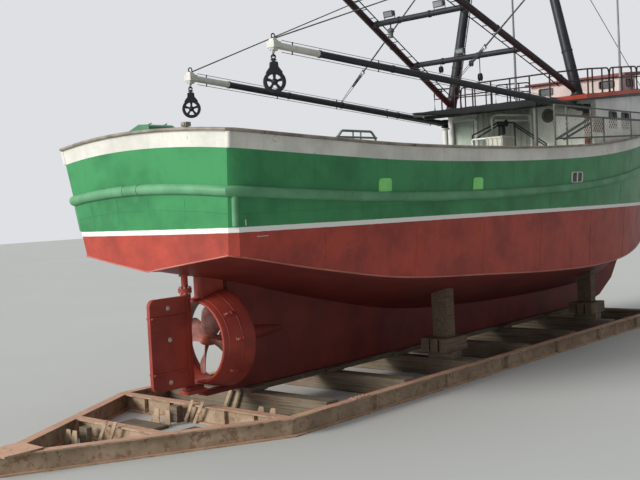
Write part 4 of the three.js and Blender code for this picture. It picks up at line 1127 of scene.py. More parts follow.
# %% Porthole
AFT = (0, -1, 0)
PORTHOLE = at(0.92, 13.3, 5.99)
port_ring = turned([
    [0.148, -0.05], [0.154, 0.018], [0.17, 0.025], [0.184, 0.018],
    [0.19, 0.0], [0.19, -0.002], [0.148, -0.002],
], PORTHOLE, AFT)
RING_GREY = paint("ring_grey", 0x5E645F, chips=0.6)
piece("porthole_ring", port_ring, RING_GREY)
glass = turned([[0, -0.032], [0.149, -0.032], [0.149, -0.02], [0.1, -0.014], [0, -0.012]], PORTHOLE, AFT)
piece("porthole_glass", glass, paint("dusty_glass", 0x5C574B, chips=0.2))
bolts = []
for angle in np.arange(30, 390, 60):
    out = np.array([np.cos(np.radians(angle)), 0, np.sin(np.radians(angle))])
    bolts.append(dome(PORTHOLE + out * 0.171 + (0, -0.022, 0), AFT, 0.014, 0.014, 8))
piece("porthole_bolts", bolts, RING_GREY)
print("porthole at", PORTHOLE.round(2))

# %% [markdown]
# Window glass sits in each opening with a rubber-lipped frame round it. The frames are thin
# rounded rectangles; the panes are set back inside the wall.

# %% Windows
WINDOW_GLASS = paint("window_glass", 0x2E3A3E, chips=0.0, streaks=0.15, roughness=0.06, light=0.3)


def framed_window(centre, right, up, wide, high, out=0.012):
    """A frame of round section along a rounded rectangle, and a pane inside it."""
    right, up = unit(right), unit(up)
    outward = np.cross(right, up)
    outline = rounded(wide, high, 0.05, 0.05)
    path = centre + outline[:, :1] * right + outline[:, 1:] * up + outward * out
    tube = swept(path, unit(path - centre - outward * out), outward, circle(0.022, 10))
    inner = rounded(wide - 0.01, high - 0.01, 0.05, 0.05)
    flat = centre + inner[:, :1] * right + inner[:, 1:] * up
    pane = np.stack([flat - outward * 0.035, flat - outward * 0.027])
    return tube, closed(pane)


windows = [framed_window(at(x, 18.45, 7.175), (-1, 0, 0), UP, 0.5, 0.23) for x in (-0.62, 0.0, 0.62)]
for side in (-1, 1):
    windows += [framed_window(at(side * 2.3, s, 5.78), (0, side, 0), UP, 0.44, 0.44) for s in (14.3, 15.1)]
    windows.append(framed_window(at(side * 1.0, 16.9, 7.04), ATHWART, UP, 0.46, 0.22))
    windows.append(framed_window(at(side * 1.5, 17.375, 7.07), (0, side, 0), UP, 0.45, 0.22))
tubes, panes = zip(*windows)
piece("window_frames", list(tubes), RING_GREY)
piece("window_panes", list(panes), WINDOW_GLASS)
print(len(windows), "windows")

# %% [markdown]
# The boat deck is a thin sloping slab with orange-red sides. Its outline is walked once and
# copied at two heights, each raised by the deck's slope. Its underside and aft faces are dark
# grey, and a dark skirt hangs under its sides, shallow over the outriggers' heels: painted shade under the
# overhang.

# %% Boat deck
# UNDERSIDE_SHADE is painted shade: the dark grey for the deck's underside, aft faces, skirt and ribs.
UNDERSIDE_SHADE = paint("deck_underside_painted_shade", 0x34393A, chips=0.5, streaks=0.2)
DECK_TOP = paint("boat_deck_top", 0xB4553F, chips=0.7, streaks=0.2, roughness=0.7)
DECK_THICK = 0.11
deck_half = np.array([
    [1.85, 10.9], [1.85, 12.0], [2.42, 12.55], [2.42, 15.6], [1.95, 17.9], [1.5, 19.3],
])
deck_plan = doubled(deck_half, (-1, 1))


def sloped(plan, levels):
    """Rings of a plan of (x, station) pairs at several heights above the deck's underside."""
    plan = np.asarray(plan, float)
    layers = [
        np.stack([plan[:, 0], plan[:, 1] + TRANSOM, deck_low(plan[:, 1]) + level], axis=1)
        for level in levels
    ]
    return closed(np.stack(layers))


slab = sloped(deck_plan, (0.0, DECK_THICK))
groups = [0] * len(deck_plan) + [1, 2]
for aft_face in (0, len(deck_plan) - 2, len(deck_plan) - 1):
    groups[aft_face] = 1
piece("boat_deck_plating", slab, [DECK_RED, UNDERSIDE_SHADE, DECK_TOP],
      ["boat_deck"], bevel=0.006, groups=groups)
edge_x, edge_s = deck_half[1:].T
drop = np.interp(edge_s, [12.0, 12.55, 12.9], [0.035, 0.05, 0.085])
shade_skirt = []
for inset in (0.012, 0.042):
    for under in (0.004 + 0 * drop, drop):
        shade_skirt.append(np.stack([edge_x - inset, edge_s + TRANSOM, deck_low(edge_s) - under], axis=1))
shade_skirt = np.stack([shade_skirt[0], shade_skirt[1], shade_skirt[3], shade_skirt[2]], axis=1)
piece("boat_deck_shade_skirt", both(closed(shade_skirt)), UNDERSIDE_SHADE)
print("boat deck", len(slab[1]), "faces")

# %% [markdown]
# A black lip hangs along the aft edge, deep to starboard and thin to port. It looks like a
# cover over a pipe, so its section is an oblong with soft corners and its edges ripple a
# little. Ribs cross under the overhang in the same dark grey, which is painted shade; one post carries the
# overhang.

# %% Lip, ribs, roof and post
x = np.linspace(-1.86, 1.88, 70)
lip_low = np.interp(x, [-1.86, -1.5, -0.6, 0.5, 1.88], [6.215, 6.165, 6.065, 6.045, 6.04])
lip_low = lip_low + 0.008 * np.sin(9.0 * x) + 0.005 * np.sin(23.0 * x + 1.0)
lip_high = 6.236 + 0.004 * np.sin(11.0 * x + 2.0)
turn = np.linspace(0, 2 * np.pi, 20, endpoint=False)
rounding = np.stack([np.cos(turn), np.sin(turn)], axis=1)
rounding = np.sign(rounding) * np.abs(rounding) ** 0.6
lip = np.stack(np.broadcast_arrays(
    x[:, None],
    10.885 + TRANSOM + 0.034 * rounding[None, :, 0],
    ((lip_high + lip_low) / 2)[:, None] + ((lip_high - lip_low) / 2)[:, None] * rounding[None, :, 1],
), axis=-1)
LIP_BLACK = paint("lip_black", 0x0D0F12, chips=0.2, streaks=0.2, roughness=0.75, light=0.02)
piece("boat_deck_lip", closed(lip), LIP_BLACK)
ribs = [block(at(-1.82, s - 0.02, deck_low(s) - 0.09), at(1.82, s + 0.02, deck_low(s) + 0.002))
        for s in (11.4, 12.0, 12.6, 13.2)]
piece("boat_deck_beams", ribs, UNDERSIDE_SHADE, bevel=0.004)
ROOF = [(1.65, 16.75), (1.65, 17.9), (1.3, 18.75), (-1.3, 18.75), (-1.65, 17.9), (-1.65, 16.75)]
piece("wheelhouse_roof_slab", sloped(ROOF, (0.562, 0.6, 0.65)), ROOF_RED,
      ["wheelhouse_roof"], bevel=0.012)
foot, head = at(1.74, 11.05, 4.2), at(1.74, 11.05, 6.11)
post = merge(pipe([foot, head], 0.05, 24), block(head - (0.09, 0.09, 0.02), head + (0.09, 0.09, -0.004)))
POST_GREY = paint("post_grey", 0x55574F, chips=0.7, streaks=0.4)
piece("overhang_post", post, POST_GREY, ["boat_deck_post"])
print(len(ribs), "ribs under the boat deck")

# %% [markdown]
# The railings are pipe: posts with two rails, in short arched lengths that each come down to
# the deck at their ends. One helper lays a length along any walk of corners, and a quadratic
# curve rounds each corner.

# %% Railings
RAILING_HIGH, RAILING_MIDDLE, RAILING_RADIUS = 0.64, 0.36, 0.021


def deck_place(x, s, over=0.0):
    """A place on top of the boat deck, or over it."""
    return at(x, s, deck_low(s) + DECK_THICK + over)


def bend(points, radius, count=6):
    """A path whose inner corners are rounded by quadratic curves."""
    points = [np.asarray(p, float) for p in points]
    path = [points[0]]
    t = np.linspace(0, 1, count)[:, None]
    for before, corner, after in zip(points, points[1:], points[2:]):
        a = corner + unit(before - corner) * radius
        b = corner + unit(after - corner) * radius
        path.extend((1 - t) ** 2 * a + 2 * t * (1 - t) * corner + t**2 * b)
    path.append(points[-1])
    return np.array(path)


FOOT = [[0, -0.002], [0.045, -0.002], [0.045, 0.008], [0.024, 0.014], [0, 0.014]]


def railing(walk, posts, name, stands_for=(), arch=0.16):
    """Rails over a walk of (x, station) corners, and posts at given places along it."""
    top = [deck_place(*walk[0])] + [deck_place(x, s, RAILING_HIGH) for x, s in walk] + [deck_place(*walk[-1])]
    middle = bend([deck_place(x, s, RAILING_MIDDLE) for x, s in walk], 0.1)
    tubes = [pipe(bend(top, arch), RAILING_RADIUS, 12), pipe(middle, RAILING_RADIUS * 0.8, 10)]
    tubes += [pipe([deck_place(x, s), deck_place(x, s, RAILING_HIGH)], RAILING_RADIUS, 12) for x, s in posts]
    feet = [turned(FOOT, deck_place(x, s), UP, 16) for x, s in [walk[0], *posts, walk[-1]]]
    piece(name, merge(*tubes, *feet), RAILING, stands_for)


aft_posts = [(x, 12.15) for x in (-0.72, -0.14, 0.44, 1.02, 1.6)]
railing([(-1.3, 12.15), (1.72, 12.15), (2.34, 12.75), (2.34, 14.08)],
        aft_posts + [(2.34, 12.8), (2.34, 13.07), (2.34, 13.65)], "aft_railing", ["railing_aft"])
railing([(2.34, 14.12), (2.34, 15.9)], [(2.34, 14.35), (2.34, 14.9), (2.34, 15.55)],
        "starboard_railing", ["railing_starboard"])
railing([(-2.34, 12.7), (-2.34, 14.08)], [(-2.34, 13.07), (-2.34, 13.65)], "port_aft_railing")
railing([(-2.34, 14.12), (-2.34, 15.9)], [(-2.34, 14.35), (-2.34, 14.9), (-2.34, 15.55)],
        "port_railing", ["railing_port"])
for name, side in SIDES:
    railing([(side * 2.29, 16.05), (side * 1.98, 17.7)], [(side * 2.19, 16.6), (side * 2.08, 17.15)],
            f"{name}_fore_railing")
print("railings", RAILING_HIGH, "m high")

# %% [markdown]
# Two thin aerial poles taper upwards from a foot on the boat deck, each with a short crossbar.

# %% Aerial poles
POLE_FOOT = [[0, 0], [0.07, 0], [0.07, 0.012], [0.042, 0.03], [0, 0.03]]
POLE_GREY = paint("pole_grey", 0x8C8E90, chips=0.4)
for x, s, high, node in ((-0.7, 14.5, 4.3, "port"), (1.6, 16.5, 3.6, "starboard")):
    upright = [deck_place(x, s, high * share) for share in (0, 0.5, 1)]
    crossbar = [deck_place(x + aside, s, high * 0.8) for aside in (-0.2, 0.2)]
    pole = merge(
        pipe(upright, [0.038, 0.03, 0.022], 16),
        turned(POLE_FOOT, deck_place(x, s), UP, 20),
        pipe(crossbar, 0.012, 8, rounded=0.005),
    )
    piece(f"aerial_pole_{node}", pole, POLE_GREY, [f"aerial_mast_{node}"])
print("house and boat deck made")

# %% [markdown]
# Mast and gallows are steel pipe. Welded pipe has a soft sheen, collars at its joints and
# paint worn to primer where wires rub. Each mast leg is a tapered pipe with an arm, and each
# raked leg of the gallows is a straight one.

# %% Mast and gallows
MAST_AT, MAST_FOOT, MAST_TOP, ARM_HIGH = 12.97, 6.484, 13.3, 10.7
MAST_RADIUS = (0.145, 0.092)
GALLOWS_RADIUS, BAR_RADIUS, HEAD_AT = 0.084, 0.072, 5.4
MAROON = paint("spar_maroon", 0x36252A, chips=0.4, streaks=0.2, roughness=0.42, patch=3.0, light=0.03)


def mast_x(z):
    """Half the distance between the mast's legs at a height."""
    return 1.95 + (0.47 - 1.95) * (z - MAST_FOOT) / (MAST_TOP - MAST_FOOT)


def gallows(side, s, over=0.0):
    """A place on a raked leg at a station."""
    return at(side * (1.95 - 0.128 * (MAST_AT - s)), s, 6.514 + 0.417 * (MAST_AT - s) + over)


def collar(centre, axis, radius, long=0.05, proud=0.012):
    """A ring round a pipe, with sloping ends."""
    half = long / 2
    return turned([[0, -half], [radius + proud * 0.5, -half], [radius + proud, -half + 0.01],
                   [radius + proud, half - 0.01], [radius + proud * 0.5, half], [0, half]], centre, axis, 28)


for name, side in SIDES:
    z = np.linspace(6.42, MAST_TOP, 12)
    path = np.array([at(side * mast_x(k), MAST_AT, k) for k in z])
    radius = np.linspace(*MAST_RADIUS, len(z))
    leg = [pipe(path, radius, 28), collar(path[0] + (0, 0, 0.012), UP, 0.19, 0.024, 0.002)]
    for high in (7.6, 9.3, 11.4):
        here = at(side * mast_x(high), MAST_AT, high)
        leg.append(collar(here, path[-1] - path[0], np.interp(high, z, radius)))
    arm = [at(side * mast_x(ARM_HIGH), MAST_AT, ARM_HIGH), at(side * 2.29, MAST_AT, ARM_HIGH)]
    leg.append(pipe(arm, 0.06, 20, rounded=0.012))
    leg.append(pipe([arm[1] - (side * 0.09, 0, 0), arm[1] - (side * 0.09, 0, 0.1)], 0.02, 12, rounded=0.004))
    leg.append(pipe([at(side * mast_x(9.8), MAST_AT, 9.8), at(side * 2.2, MAST_AT, ARM_HIGH)], 0.038, 14))
    piece(f"mast_{name}_pipe", leg, BLACK, [f"mast_leg_{name}"])
    rake = gallows(side, HEAD_AT) - gallows(side, 12.87)
    raked = [pipe([gallows(side, 12.87), gallows(side, HEAD_AT)], GALLOWS_RADIUS, 26)]
    raked += [collar(gallows(side, s), rake, GALLOWS_RADIUS) for s in (12.2, 9.7, 7.2)]
    piece(f"gallows_{name}_pipe", raked, MAROON, [f"gallows_leg_{name}"])
print("mast and gallows legs made")

# %% [markdown]
# A cross tree and a flat head tie the mast's legs, and three bars tie the gallows' legs.

# %% Bars and heads
LOW_BAR_AT, HIGH_BAR_AT = 10.68, 8.68
COLLARS_AT = (0.06, 0.3, 0.62, 0.94)
tree = pipe([at(-mast_x(ARM_HIGH), MAST_AT, ARM_HIGH), at(mast_x(ARM_HIGH), MAST_AT, ARM_HIGH)], 0.07, 20)
piece("cross_tree_pipe", tree, BLACK, ["mast_cross_tree"])
head = merge(
    block(at(-0.62, 12.86, 13.3), at(0.62, 13.08, 13.43)),
    pipe([at(0, MAST_AT, 13.4), at(0, MAST_AT, 14.2)], 0.04, 16, rounded=0.01),
)
piece("mast_head_cap", head, BLACK, ["mast_head"], bevel=0.01)
for node, s in (("gallows_bar_low", LOW_BAR_AT), ("gallows_bar_high", HIGH_BAR_AT)):
    a, b = gallows(-1, s), gallows(1, s)
    parts = [pipe([a, b], BAR_RADIUS, 24)]
    parts += [collar(a + (b - a) * share, ATHWART, BAR_RADIUS, 0.07, 0.014) for share in COLLARS_AT]
    piece(f"{node}_pipe", parts, BLACK, [node])
HEAD_HIGH = gallows(1, HEAD_AT)[2]
bar = pipe([at(-1.151, HEAD_AT, HEAD_HIGH), at(1.151, HEAD_AT, HEAD_HIGH)], BAR_RADIUS, 24, rounded=0.015)
piece("gallows_head_pipe", bar, BLACK, ["gallows_head_bar"])
print("bars at stations", LOW_BAR_AT, HIGH_BAR_AT, "and", HEAD_AT)

# %% [markdown]
# A ladder runs beside each raked leg and the port mast leg, as one rail with short rungs.


# %% Ladders
def ladder(foot, head, aside, rung):
    """A rail beside a spar, a step aside from foot to head, and rungs between the two."""
    foot, head, aside = (np.asarray(v, float) for v in (foot, head, aside))
    parts = [pipe([foot + aside, head + aside], 0.014, 8)]
    for share in np.linspace(0.02, 0.98, int(np.linalg.norm(head - foot) / rung)):
        here = foot + (head - foot) * share
        parts.append(pipe([here + aside * 0.2, here + aside], 0.011, 6))
    return merge(*parts)


ladders = [ladder(gallows(side, 12.6), gallows(side, 5.7), (-side * 0.27, 0, 0), 0.38) for side in (-1, 1)]
ends = [at(-mast_x(z), MAST_AT, z) for z in (6.7, 13.1)]
ladders.append(ladder(*ends, (0.2, -0.02, 0), 0.27))
piece("ladders", ladders, BLACK)
print(len(ladders), "ladders")

# %% [markdown]
# Deck lights are cast boxes with a rim, a thick pane and cooling fins, hung in a fork. They
# are drawn once, facing aft, and set on the gallows bars. Under the bars hang a lantern and
# three small blocks: two cheeks of an oval outline with a wheel between them.

# %% Lights and small blocks
LAMP_GREY = paint("lamp_grey", 0x4A4E50, chips=0.5)
LAMP_GLASS = paint("lamp_glass", 0x8E9698, chips=0.0, streaks=0.2, roughness=0.12)
TILT = 12  # degrees that a lamp looks down


def floodlight(centre, wide, high):
    """Casing, rim and fins, the pane, and a fork down to the bar."""
    w, h, rim, aside, under = wide / 2, high / 2, 0.015, wide / 2 + 0.03, -high / 2 - 0.06
    casing = [
        block((-w, -0.05, -h), (w, 0.06, h)),
        block((-w - rim, -0.075, -h - rim), (w + rim, -0.045, h + rim)),
    ]
    fins = np.linspace(-h * 0.8, h * 0.7, 5)
    casing += [block((-w * 0.8, 0.05, z), (w * 0.8, 0.095, z + 0.008)) for z in fins]
    fork = bend([(-aside, 0, 0), (-aside, 0, under), (aside, 0, under), (aside, 0, 0)], 0.02)
    pane = block((-w + 0.01, -0.083, -h + 0.01), (w - 0.01, -0.07, h - 0.01))
    casing, pane = (turn_about(shell, ORIGIN, ATHWART, TILT) for shell in (merge(*casing), pane))
    return moved(merge(casing, pipe(fork, 0.012, 8)), centre), moved(pane, centre)


lamps = [
    floodlight(at(-0.83, 8.66, 8.49), 0.25, 0.13),
    floodlight(at(0.64, 8.66, 8.49), 0.25, 0.13),
    floodlight(at(-0.1, 10.66, 7.66), 0.22, 0.11),
]
LANTERN = at(-0.83, 8.68, 8.03)
lantern = turned([
    [0, 0.2], [0.02, 0.2], [0.02, 0.12], [0.07, 0.1], [0.085, 0.06], [0.085, 0.02],
    [0.06, 0.0], [0.055, -0.1], [0.065, -0.12], [0.0, -0.125],
], LANTERN, UP, 24)
casings, panes = zip(*lamps)
piece("deck_lamps", merge(lantern, *casings), LAMP_GREY, bevel=0.004)
piece("deck_lamp_panes", list(panes), LAMP_GLASS)


def hanging_block(top, drop, size):
    """A strop down from top, then two oval cheeks and a wheel on a pin."""
    centre = np.asarray(top, float) - (0, 0, drop)
    angle = np.linspace(0, 2 * np.pi, 24, endpoint=False)
    oval = np.stack([np.cos(angle), 1.35 * np.sin(angle)], axis=1) * size + centre[1:]
    sheave = [[0, -0.016], [size * 0.9, -0.016], [size * 0.75, 0], [size * 0.9, 0.016], [0, 0.016]]
    wheel = turned(sheave, centre, ATHWART, 24)
    cheeks = [plate(oval, (centre[0] + x - 0.006, centre[0] + x + 0.006)) for x in (-0.03, 0.03)]
    pin = pipe([centre - (0.045, 0, 0), centre + (0.045, 0, 0)], 0.014, 10)
    return merge(pipe([top, centre], 0.011, 8), wheel, pin, *cheeks)


LOW_BAR = gallows(1, LOW_BAR_AT)[2]
hung = [hanging_block(at(x, LOW_BAR_AT, LOW_BAR - 0.05), drop, size)
        for x, drop, size in ((-0.73, 0.16, 0.065), (0.19, 0.12, 0.06), (0.44, 0.5, 0.075))]
piece("small_blocks", hung, BLACK)
print(len(lamps), "lamps,", len(hung), "small blocks")

# %% [markdown]
# The stays are wire rope. Each runs into a tapered socket at its upper end, and into a
# bottle screw at its lower end: a body with two eyes, thicker than the wire.

# %% Stays
WIRE = paint("wire_rope", 0x5C5A55, chips=1.0, roughness=0.55, patch=9.0, light=0.2)
SCREW = np.array([
    [0, 0], [0.016, 0.0], [0.016, 0.08], [0.034, 0.1], [0.034, 0.13], [0.024, 0.15], [0.024, 0.43],
    [0.034, 0.45], [0.034, 0.48], [0.016, 0.5], [0.016, 0.58], [0.0, 0.58],
])
WIRE_RADIUS, SOCKET_RADIUS = 0.011, 0.011 * 2.4


def wire(low, high):
    """A wire from low to high with a bottle screw near its low end and a socket at the other."""
    low, high = np.asarray(low, float), np.asarray(high, float)
    along = unit(high - low)
    socket = [high - along * 0.22, high - along * 0.04, high]
    socket = pipe(socket, [WIRE_RADIUS, SOCKET_RADIUS, SOCKET_RADIUS], 12)
    screw = turned(SCREW, low + along * 0.12, along, 14)
    return merge(pipe([low, high], WIRE_RADIUS, 10), screw, socket)


stay = wire(at(0, 22.44, 6.99), at(0, 13.05, 13.365))
piece("forestay_wire", stay, WIRE, ["forestay"])
for name, side in SIDES:
    stay = wire(at(side * 0.62, HEAD_AT, HEAD_HIGH + 0.05), at(side * 0.5, 12.9, 13.355))
    piece(f"gallows_stay_{name}_wire", stay, WIRE, [f"gallows_stay_{name}"])
print("stays made")

# %% [markdown]
# The outriggers are long tapered spars on an upright pin, stowed pointing aft. The outer part
# is white with a white head block. The mast's arm ends over the pin, so a lift and a topping
# wire that come down from it turn with the spar: all of this rides on the outrigger's body.

# %% Outriggers
HEEL_AT, HEEL_HIGH, PIN_X = 12.97, 6.04, 2.2
TIPS = {"starboard": (1, at(1.2, 2.34, 6.86)), "port": (-1, at(-1.2, 2.42, 6.55))}
WHITE_FROM = 0.895
HEAD_CHEEK = np.array([
    (-0.13, -0.04), (-0.1, 0.11), (-0.04, 0.125), (0.06, 0.06), (0.06, -0.06), (-0.01, -0.12), (-0.1, -0.1),
])


def spar_radius(share):
    """The spar's radius a share of the way from heel to tip."""
    return 0.084 + (0.064 - 0.084) * share


def spar_pipe(heel, tip, start, end):
    """The spar between two shares of its length."""
    ends = [heel + (tip - heel) * share for share in (start, end)]
    return pipe(ends, [spar_radius(start), spar_radius(end)], 26)


def lift(top, spar_place):
    """A rod from the arm that ends in two thin wires and a bottle screw."""
    along = unit(spar_place - top)
    fork = top + (spar_place - top) * 0.8
    apart = unit(np.cross(along, ATHWART)) * 0.045
    wires = [pipe([fork + apart * k, spar_place + apart * k * 0.3], 0.007, 8) for k in (-1, 1)]
    yoke = pipe([fork - apart * 1.3, fork + apart * 1.3], 0.016, 10, rounded=0.004)
    return merge(pipe([top, fork], 0.02, 12), yoke, turned(SCREW, fork + along * 0.1, along, 14), *wires)


for name, (side, tip) in TIPS.items():
    print(name, "outrigger", round(np.linalg.norm(tip - at(side * PIN_X, HEEL_AT, HEEL_HIGH)), 2), "m long")

# %% [markdown]
# A spar is a heel boss, a dark tube with collars, a white outer tube and a cheeked head. Thin
# wires run above and below it, held off by lugs.

# %% Spars
BOSS = doubled([[0, -0.12], [0.09, -0.12], [0.105, -0.105], [0.105, -0.05], [0.096, -0.04]])
for name, (side, tip) in TIPS.items():
    body = f"outrigger_{name}"
    heel = at(side * PIN_X, HEEL_AT, HEEL_HIGH)
    along = unit(tip - heel)
    over = unit(np.cross(np.cross(along, UP), along))
    dark = [spar_pipe(heel, tip, 0.0, WHITE_FROM), turned(BOSS, heel, UP, 32)]
    for share in (0.035, 0.25, 0.5, 0.7, WHITE_FROM):
        dark.append(collar(heel + (tip - heel) * share, along, spar_radius(share), 0.06, 0.01))
    piece(f"spar_{name}", dark, BLACK, [body], body=body)
    head = merge(
        spar_pipe(heel, tip, WHITE_FROM, 1.0),
        block(tip + (-0.095, -0.13, -0.06), tip + (0.095, 0.07, 0.06)),
        plate(HEAD_CHEEK + tip[1:], (tip[0] - 0.06, tip[0] + 0.06)),
        block(tip + (-0.016, -0.095, -0.15), tip + (0.016, -0.025, -0.05)),
    )
    piece(f"spar_head_{name}", head, WHITE, body=body, bevel=0.008)
    arm_tip = at(side * PIN_X, HEEL_AT, ARM_HIGH - 0.155)
    middle = heel + (tip - heel) * 0.5 + over * spar_radius(0.5)
    wires = [lift(arm_tip, middle), pipe([arm_tip, tip + (0, 0.0, 0.125)], 0.013, 8)]
    lugs = []
    for k in (-1, 1):
        ends = [heel + (tip - heel) * share + over * 0.11 * k for share in (0.08, 0.985)]
        wires.append(pipe(ends, 0.006, 8))
        for share in (0.08, 0.3, 0.52, 0.74, 0.96):
            foot = heel + (tip - heel) * share
            lugs.append(pipe([foot, foot + over * 0.12 * k], 0.012, 8))
    piece(f"spar_wires_{name}", wires, WIRE, body=body)
    shackle = turned(circle(0.012, 10) + (0.045, 0), tip + (0, -0.04, 0.16), ATHWART, 24)
    eye = turned(circle(0.012, 10) + (0.035, 0), arm_tip, ATHWART, 24)
    piece(f"spar_lugs_{name}", merge(shackle, eye, *lugs), BLACK, body=body)
print(len(lugs), "lugs on each spar")

# %% [markdown]
# Each snatch block hangs under a spar's head and has twisted on its shank. A ring with a
# groove for the warp, a hub and five spokes leave five openings; a tapered neck carries it.
# It is drawn upright round its own pin and then turned and moved as one.

# %% Snatch blocks
DROP, CHEEK, TWIST, PORT_SIZE = 0.52, 0.21, -38, 0.88
SHEAVE_AT = (0, 0, -DROP)
RIM = doubled([[0.143, -0.045], [0.205, -0.045], [CHEEK, -0.038], [CHEEK, -0.02], [0.188, -0.008]])
HUB = doubled([[0, -0.062], [0.022, -0.062], [0.024, -0.05], [0.052, -0.048], [0.06, -0.035]])
ring = turned(RIM, SHEAVE_AT, ATHWART, 56)
hub = turned(HUB, SHEAVE_AT, ATHWART, 28)
inner, outer = 0.04 - DROP, 0.155 - DROP
spoke = plate([(-0.018, inner), (0.018, inner), (0.03, outer), (-0.03, outer)], (-0.034, 0.034))
spokes = [turn_about(spoke, SHEAVE_AT, ATHWART, angle) for angle in range(0, 360, 72)]
half_neck = [(-0.03, -0.15), (-0.075, -0.165), (-0.082, -0.25), (-0.15, -0.34), (-0.15, -0.38)]
neck = plate(doubled(half_neck, (-1, 1)), (-0.048, 0.048))
SWIVEL = [[0, -0.18], [0.03, -0.18], [0.03, -0.14], [0.018, -0.13], [0.018, -0.09], [0, -0.09]]
SHANK = [[0, -0.06], [0.03, -0.06], [0.03, -0.035], [0.018, -0.03], [0.018, 0.0], [0, 0.0]]
hook = merge(
    turned(circle(0.014, 10) + (0.038, 0), (0, 0, -0.065), ATHWART, 24),
    turned(SWIVEL, ORIGIN, UP, 20),
    pipe([(0, -0.055, -0.12), (0, 0.055, -0.12)], 0.015, 10, rounded=0.004),
)
shank = turned(SHANK, ORIGIN, UP, 20)
snatch = merge(ring, hub, neck, hook, shank, *spokes)
for name, (side, tip) in TIPS.items():
    body = f"snatch_block_{name}"
    points, faces = snatch if side > 0 else (snatch[0] * PORT_SIZE, snatch[1])
    hung = moved(turn_about((points, faces), ORIGIN, UP, TWIST), tip + (0, -0.06, -0.156))
    piece(f"block_{name}", hung, BLACK, [body], body=body, bevel=0.005)
print("snatch blocks", 2 * CHEEK, "m across")

# %% [markdown]
# The stanchions stand on the deck with a flange at each end and small gussets. Their paint
# is old red lead to starboard and white to port.

# %% Stanchions
STANCHION_PAINT = paint("red_lead", 0x7E4A3E, chips=0.9, streaks=0.5)
STANCHION = [
    [0, 4.0], [0.11, 4.0], [0.11, 4.25], [0.1, 4.26], [0.08, 4.27],
    [0.08, 5.86], [0.095, 5.868], [0.13, 5.874], [0.13, 5.914], [0, 5.914],
]
for name, side in SIDES:
    foot = at(side * PIN_X, HEEL_AT, 0)
    post = [turned(STANCHION, foot, UP, 32)]
    for angle in range(45, 405, 90):
        fin = plate([(0.07, 4.24), (0.17, 4.24), (0.07, 4.48)], (-0.006, 0.006), axis=1)
        post.append(moved(turn_about(fin, ORIGIN, UP, angle), foot))
    coat, node = STANCHION_PAINT if side > 0 else WHITE, f"outrigger_stanchion_{name}"
    piece(f"stanchion_{name}", post, coat, [node])
print("stanchions with", len(post) - 1, "gussets each")

# %% [markdown]
# The trawl winch is a bed with three cheeks, a fixed shaft and two drums full of wire. Wound
# wire is a drum profile whose rim is a row of small half circles, one for each turn, swept
# round the shaft. The cheeks are flat plates with their upper corners cut.

# %% Winch
WINCH_AT, WINCH_HIGH, CHEEKS = 12.05, 4.83, (-0.93, -0.04, 0.85)
WIRE_THICK, WOUND = 0.024, 0.275
cheek_outline = np.array([
    (11.63, 4.2), (12.47, 4.2), (12.44, 4.3), (12.16, 4.94),
    (12.12, 4.965), (11.98, 4.965), (11.94, 4.94), (11.66, 4.3),
]) + (TRANSOM, 0)
bed = [block(at(-0.97, 11.63, 4.0), at(0.89, 12.47, 4.3))]
bed += [plate(cheek_outline, (x - 0.015, x + 0.015)) for x in CHEEKS]
BEARING = doubled([[0, -0.05], [0.085, -0.05], [0.09, -0.04]])
for x in CHEEKS:
    bed.append(turned(BEARING, at(x, WINCH_AT, WINCH_HIGH), ATHWART, 28))
piece("winch_bed", bed, GEAR_GREEN, ["winch_frame"], bevel=0.005)
shaft = pipe([at(CHEEKS[0], WINCH_AT, WINCH_HIGH), at(CHEEKS[2], WINCH_AT, WINCH_HIGH)], 0.045, 20)
DRUM_STEEL = paint("drum_steel", 0x6B5A4E, chips=1.2, roughness=0.6)
piece("winch_shaft", shaft, DRUM_STEEL)
print(len(CHEEKS), "cheeks")

# %% [markdown]
# A drum is one turned profile with six ribs on each flange, and its wire is another profile
# round it. Both belong to the drum's body.

# %% Drums and wound wire
for name, left, right in (("port", CHEEKS[0], CHEEKS[1]), ("starboard", CHEEKS[1], CHEEKS[2])):
    centre = at((left + right) / 2, WINCH_AT, WINCH_HIGH)
    half = (right - left) / 2 - 0.027
    a, body = -half, f"winch_drum_{name}"
    flange = doubled([[0.051, a], [0.33, a], [0.334, a + 0.01], [0.33, a + 0.022], [0.19, a + 0.03]])
    drum = turned(flange, centre, ATHWART, 56)
    ribs = []
    for angle in range(0, 360, 60):
        for end in (-1, 1):
            x = end * (half - 0.03)
            rib = block((x - 0.006, -0.008, 0.19), (x + 0.006, 0.008, 0.325))
            ribs.append(moved(turn_about(rib, ORIGIN, ATHWART, angle), centre))
    piece(f"drum_{name}", merge(drum, *ribs), DRUM_STEEL, [body], body=body)
    turns = int((2 * half - 0.08) / WIRE_THICK)
    along = np.arange(turns * 6) / 6 * WIRE_THICK - turns * WIRE_THICK / 2
    bulge = np.abs(np.sin(np.pi * along / WIRE_THICK + np.pi * turns / 2))
    rim = np.stack([WOUND - 0.011 + 0.011 * bulge, along], axis=1)
    profile = np.vstack([[0.19, rim[0, 1]], rim, [0.19, rim[-1, 1]]])
    piece(f"wound_wire_{name}", turned(profile, centre, ATHWART, 56), WIRE, body=body)
    print(name, "drum with", turns, "turns in its top layer")

# %% [markdown]
# Over the winch, two pale pipes run aft from the house; the upper one bends down to the
# middle cheek. A dark hauling head sits between two pairs of braces, which spread to low
# posts at the sides of the winch.

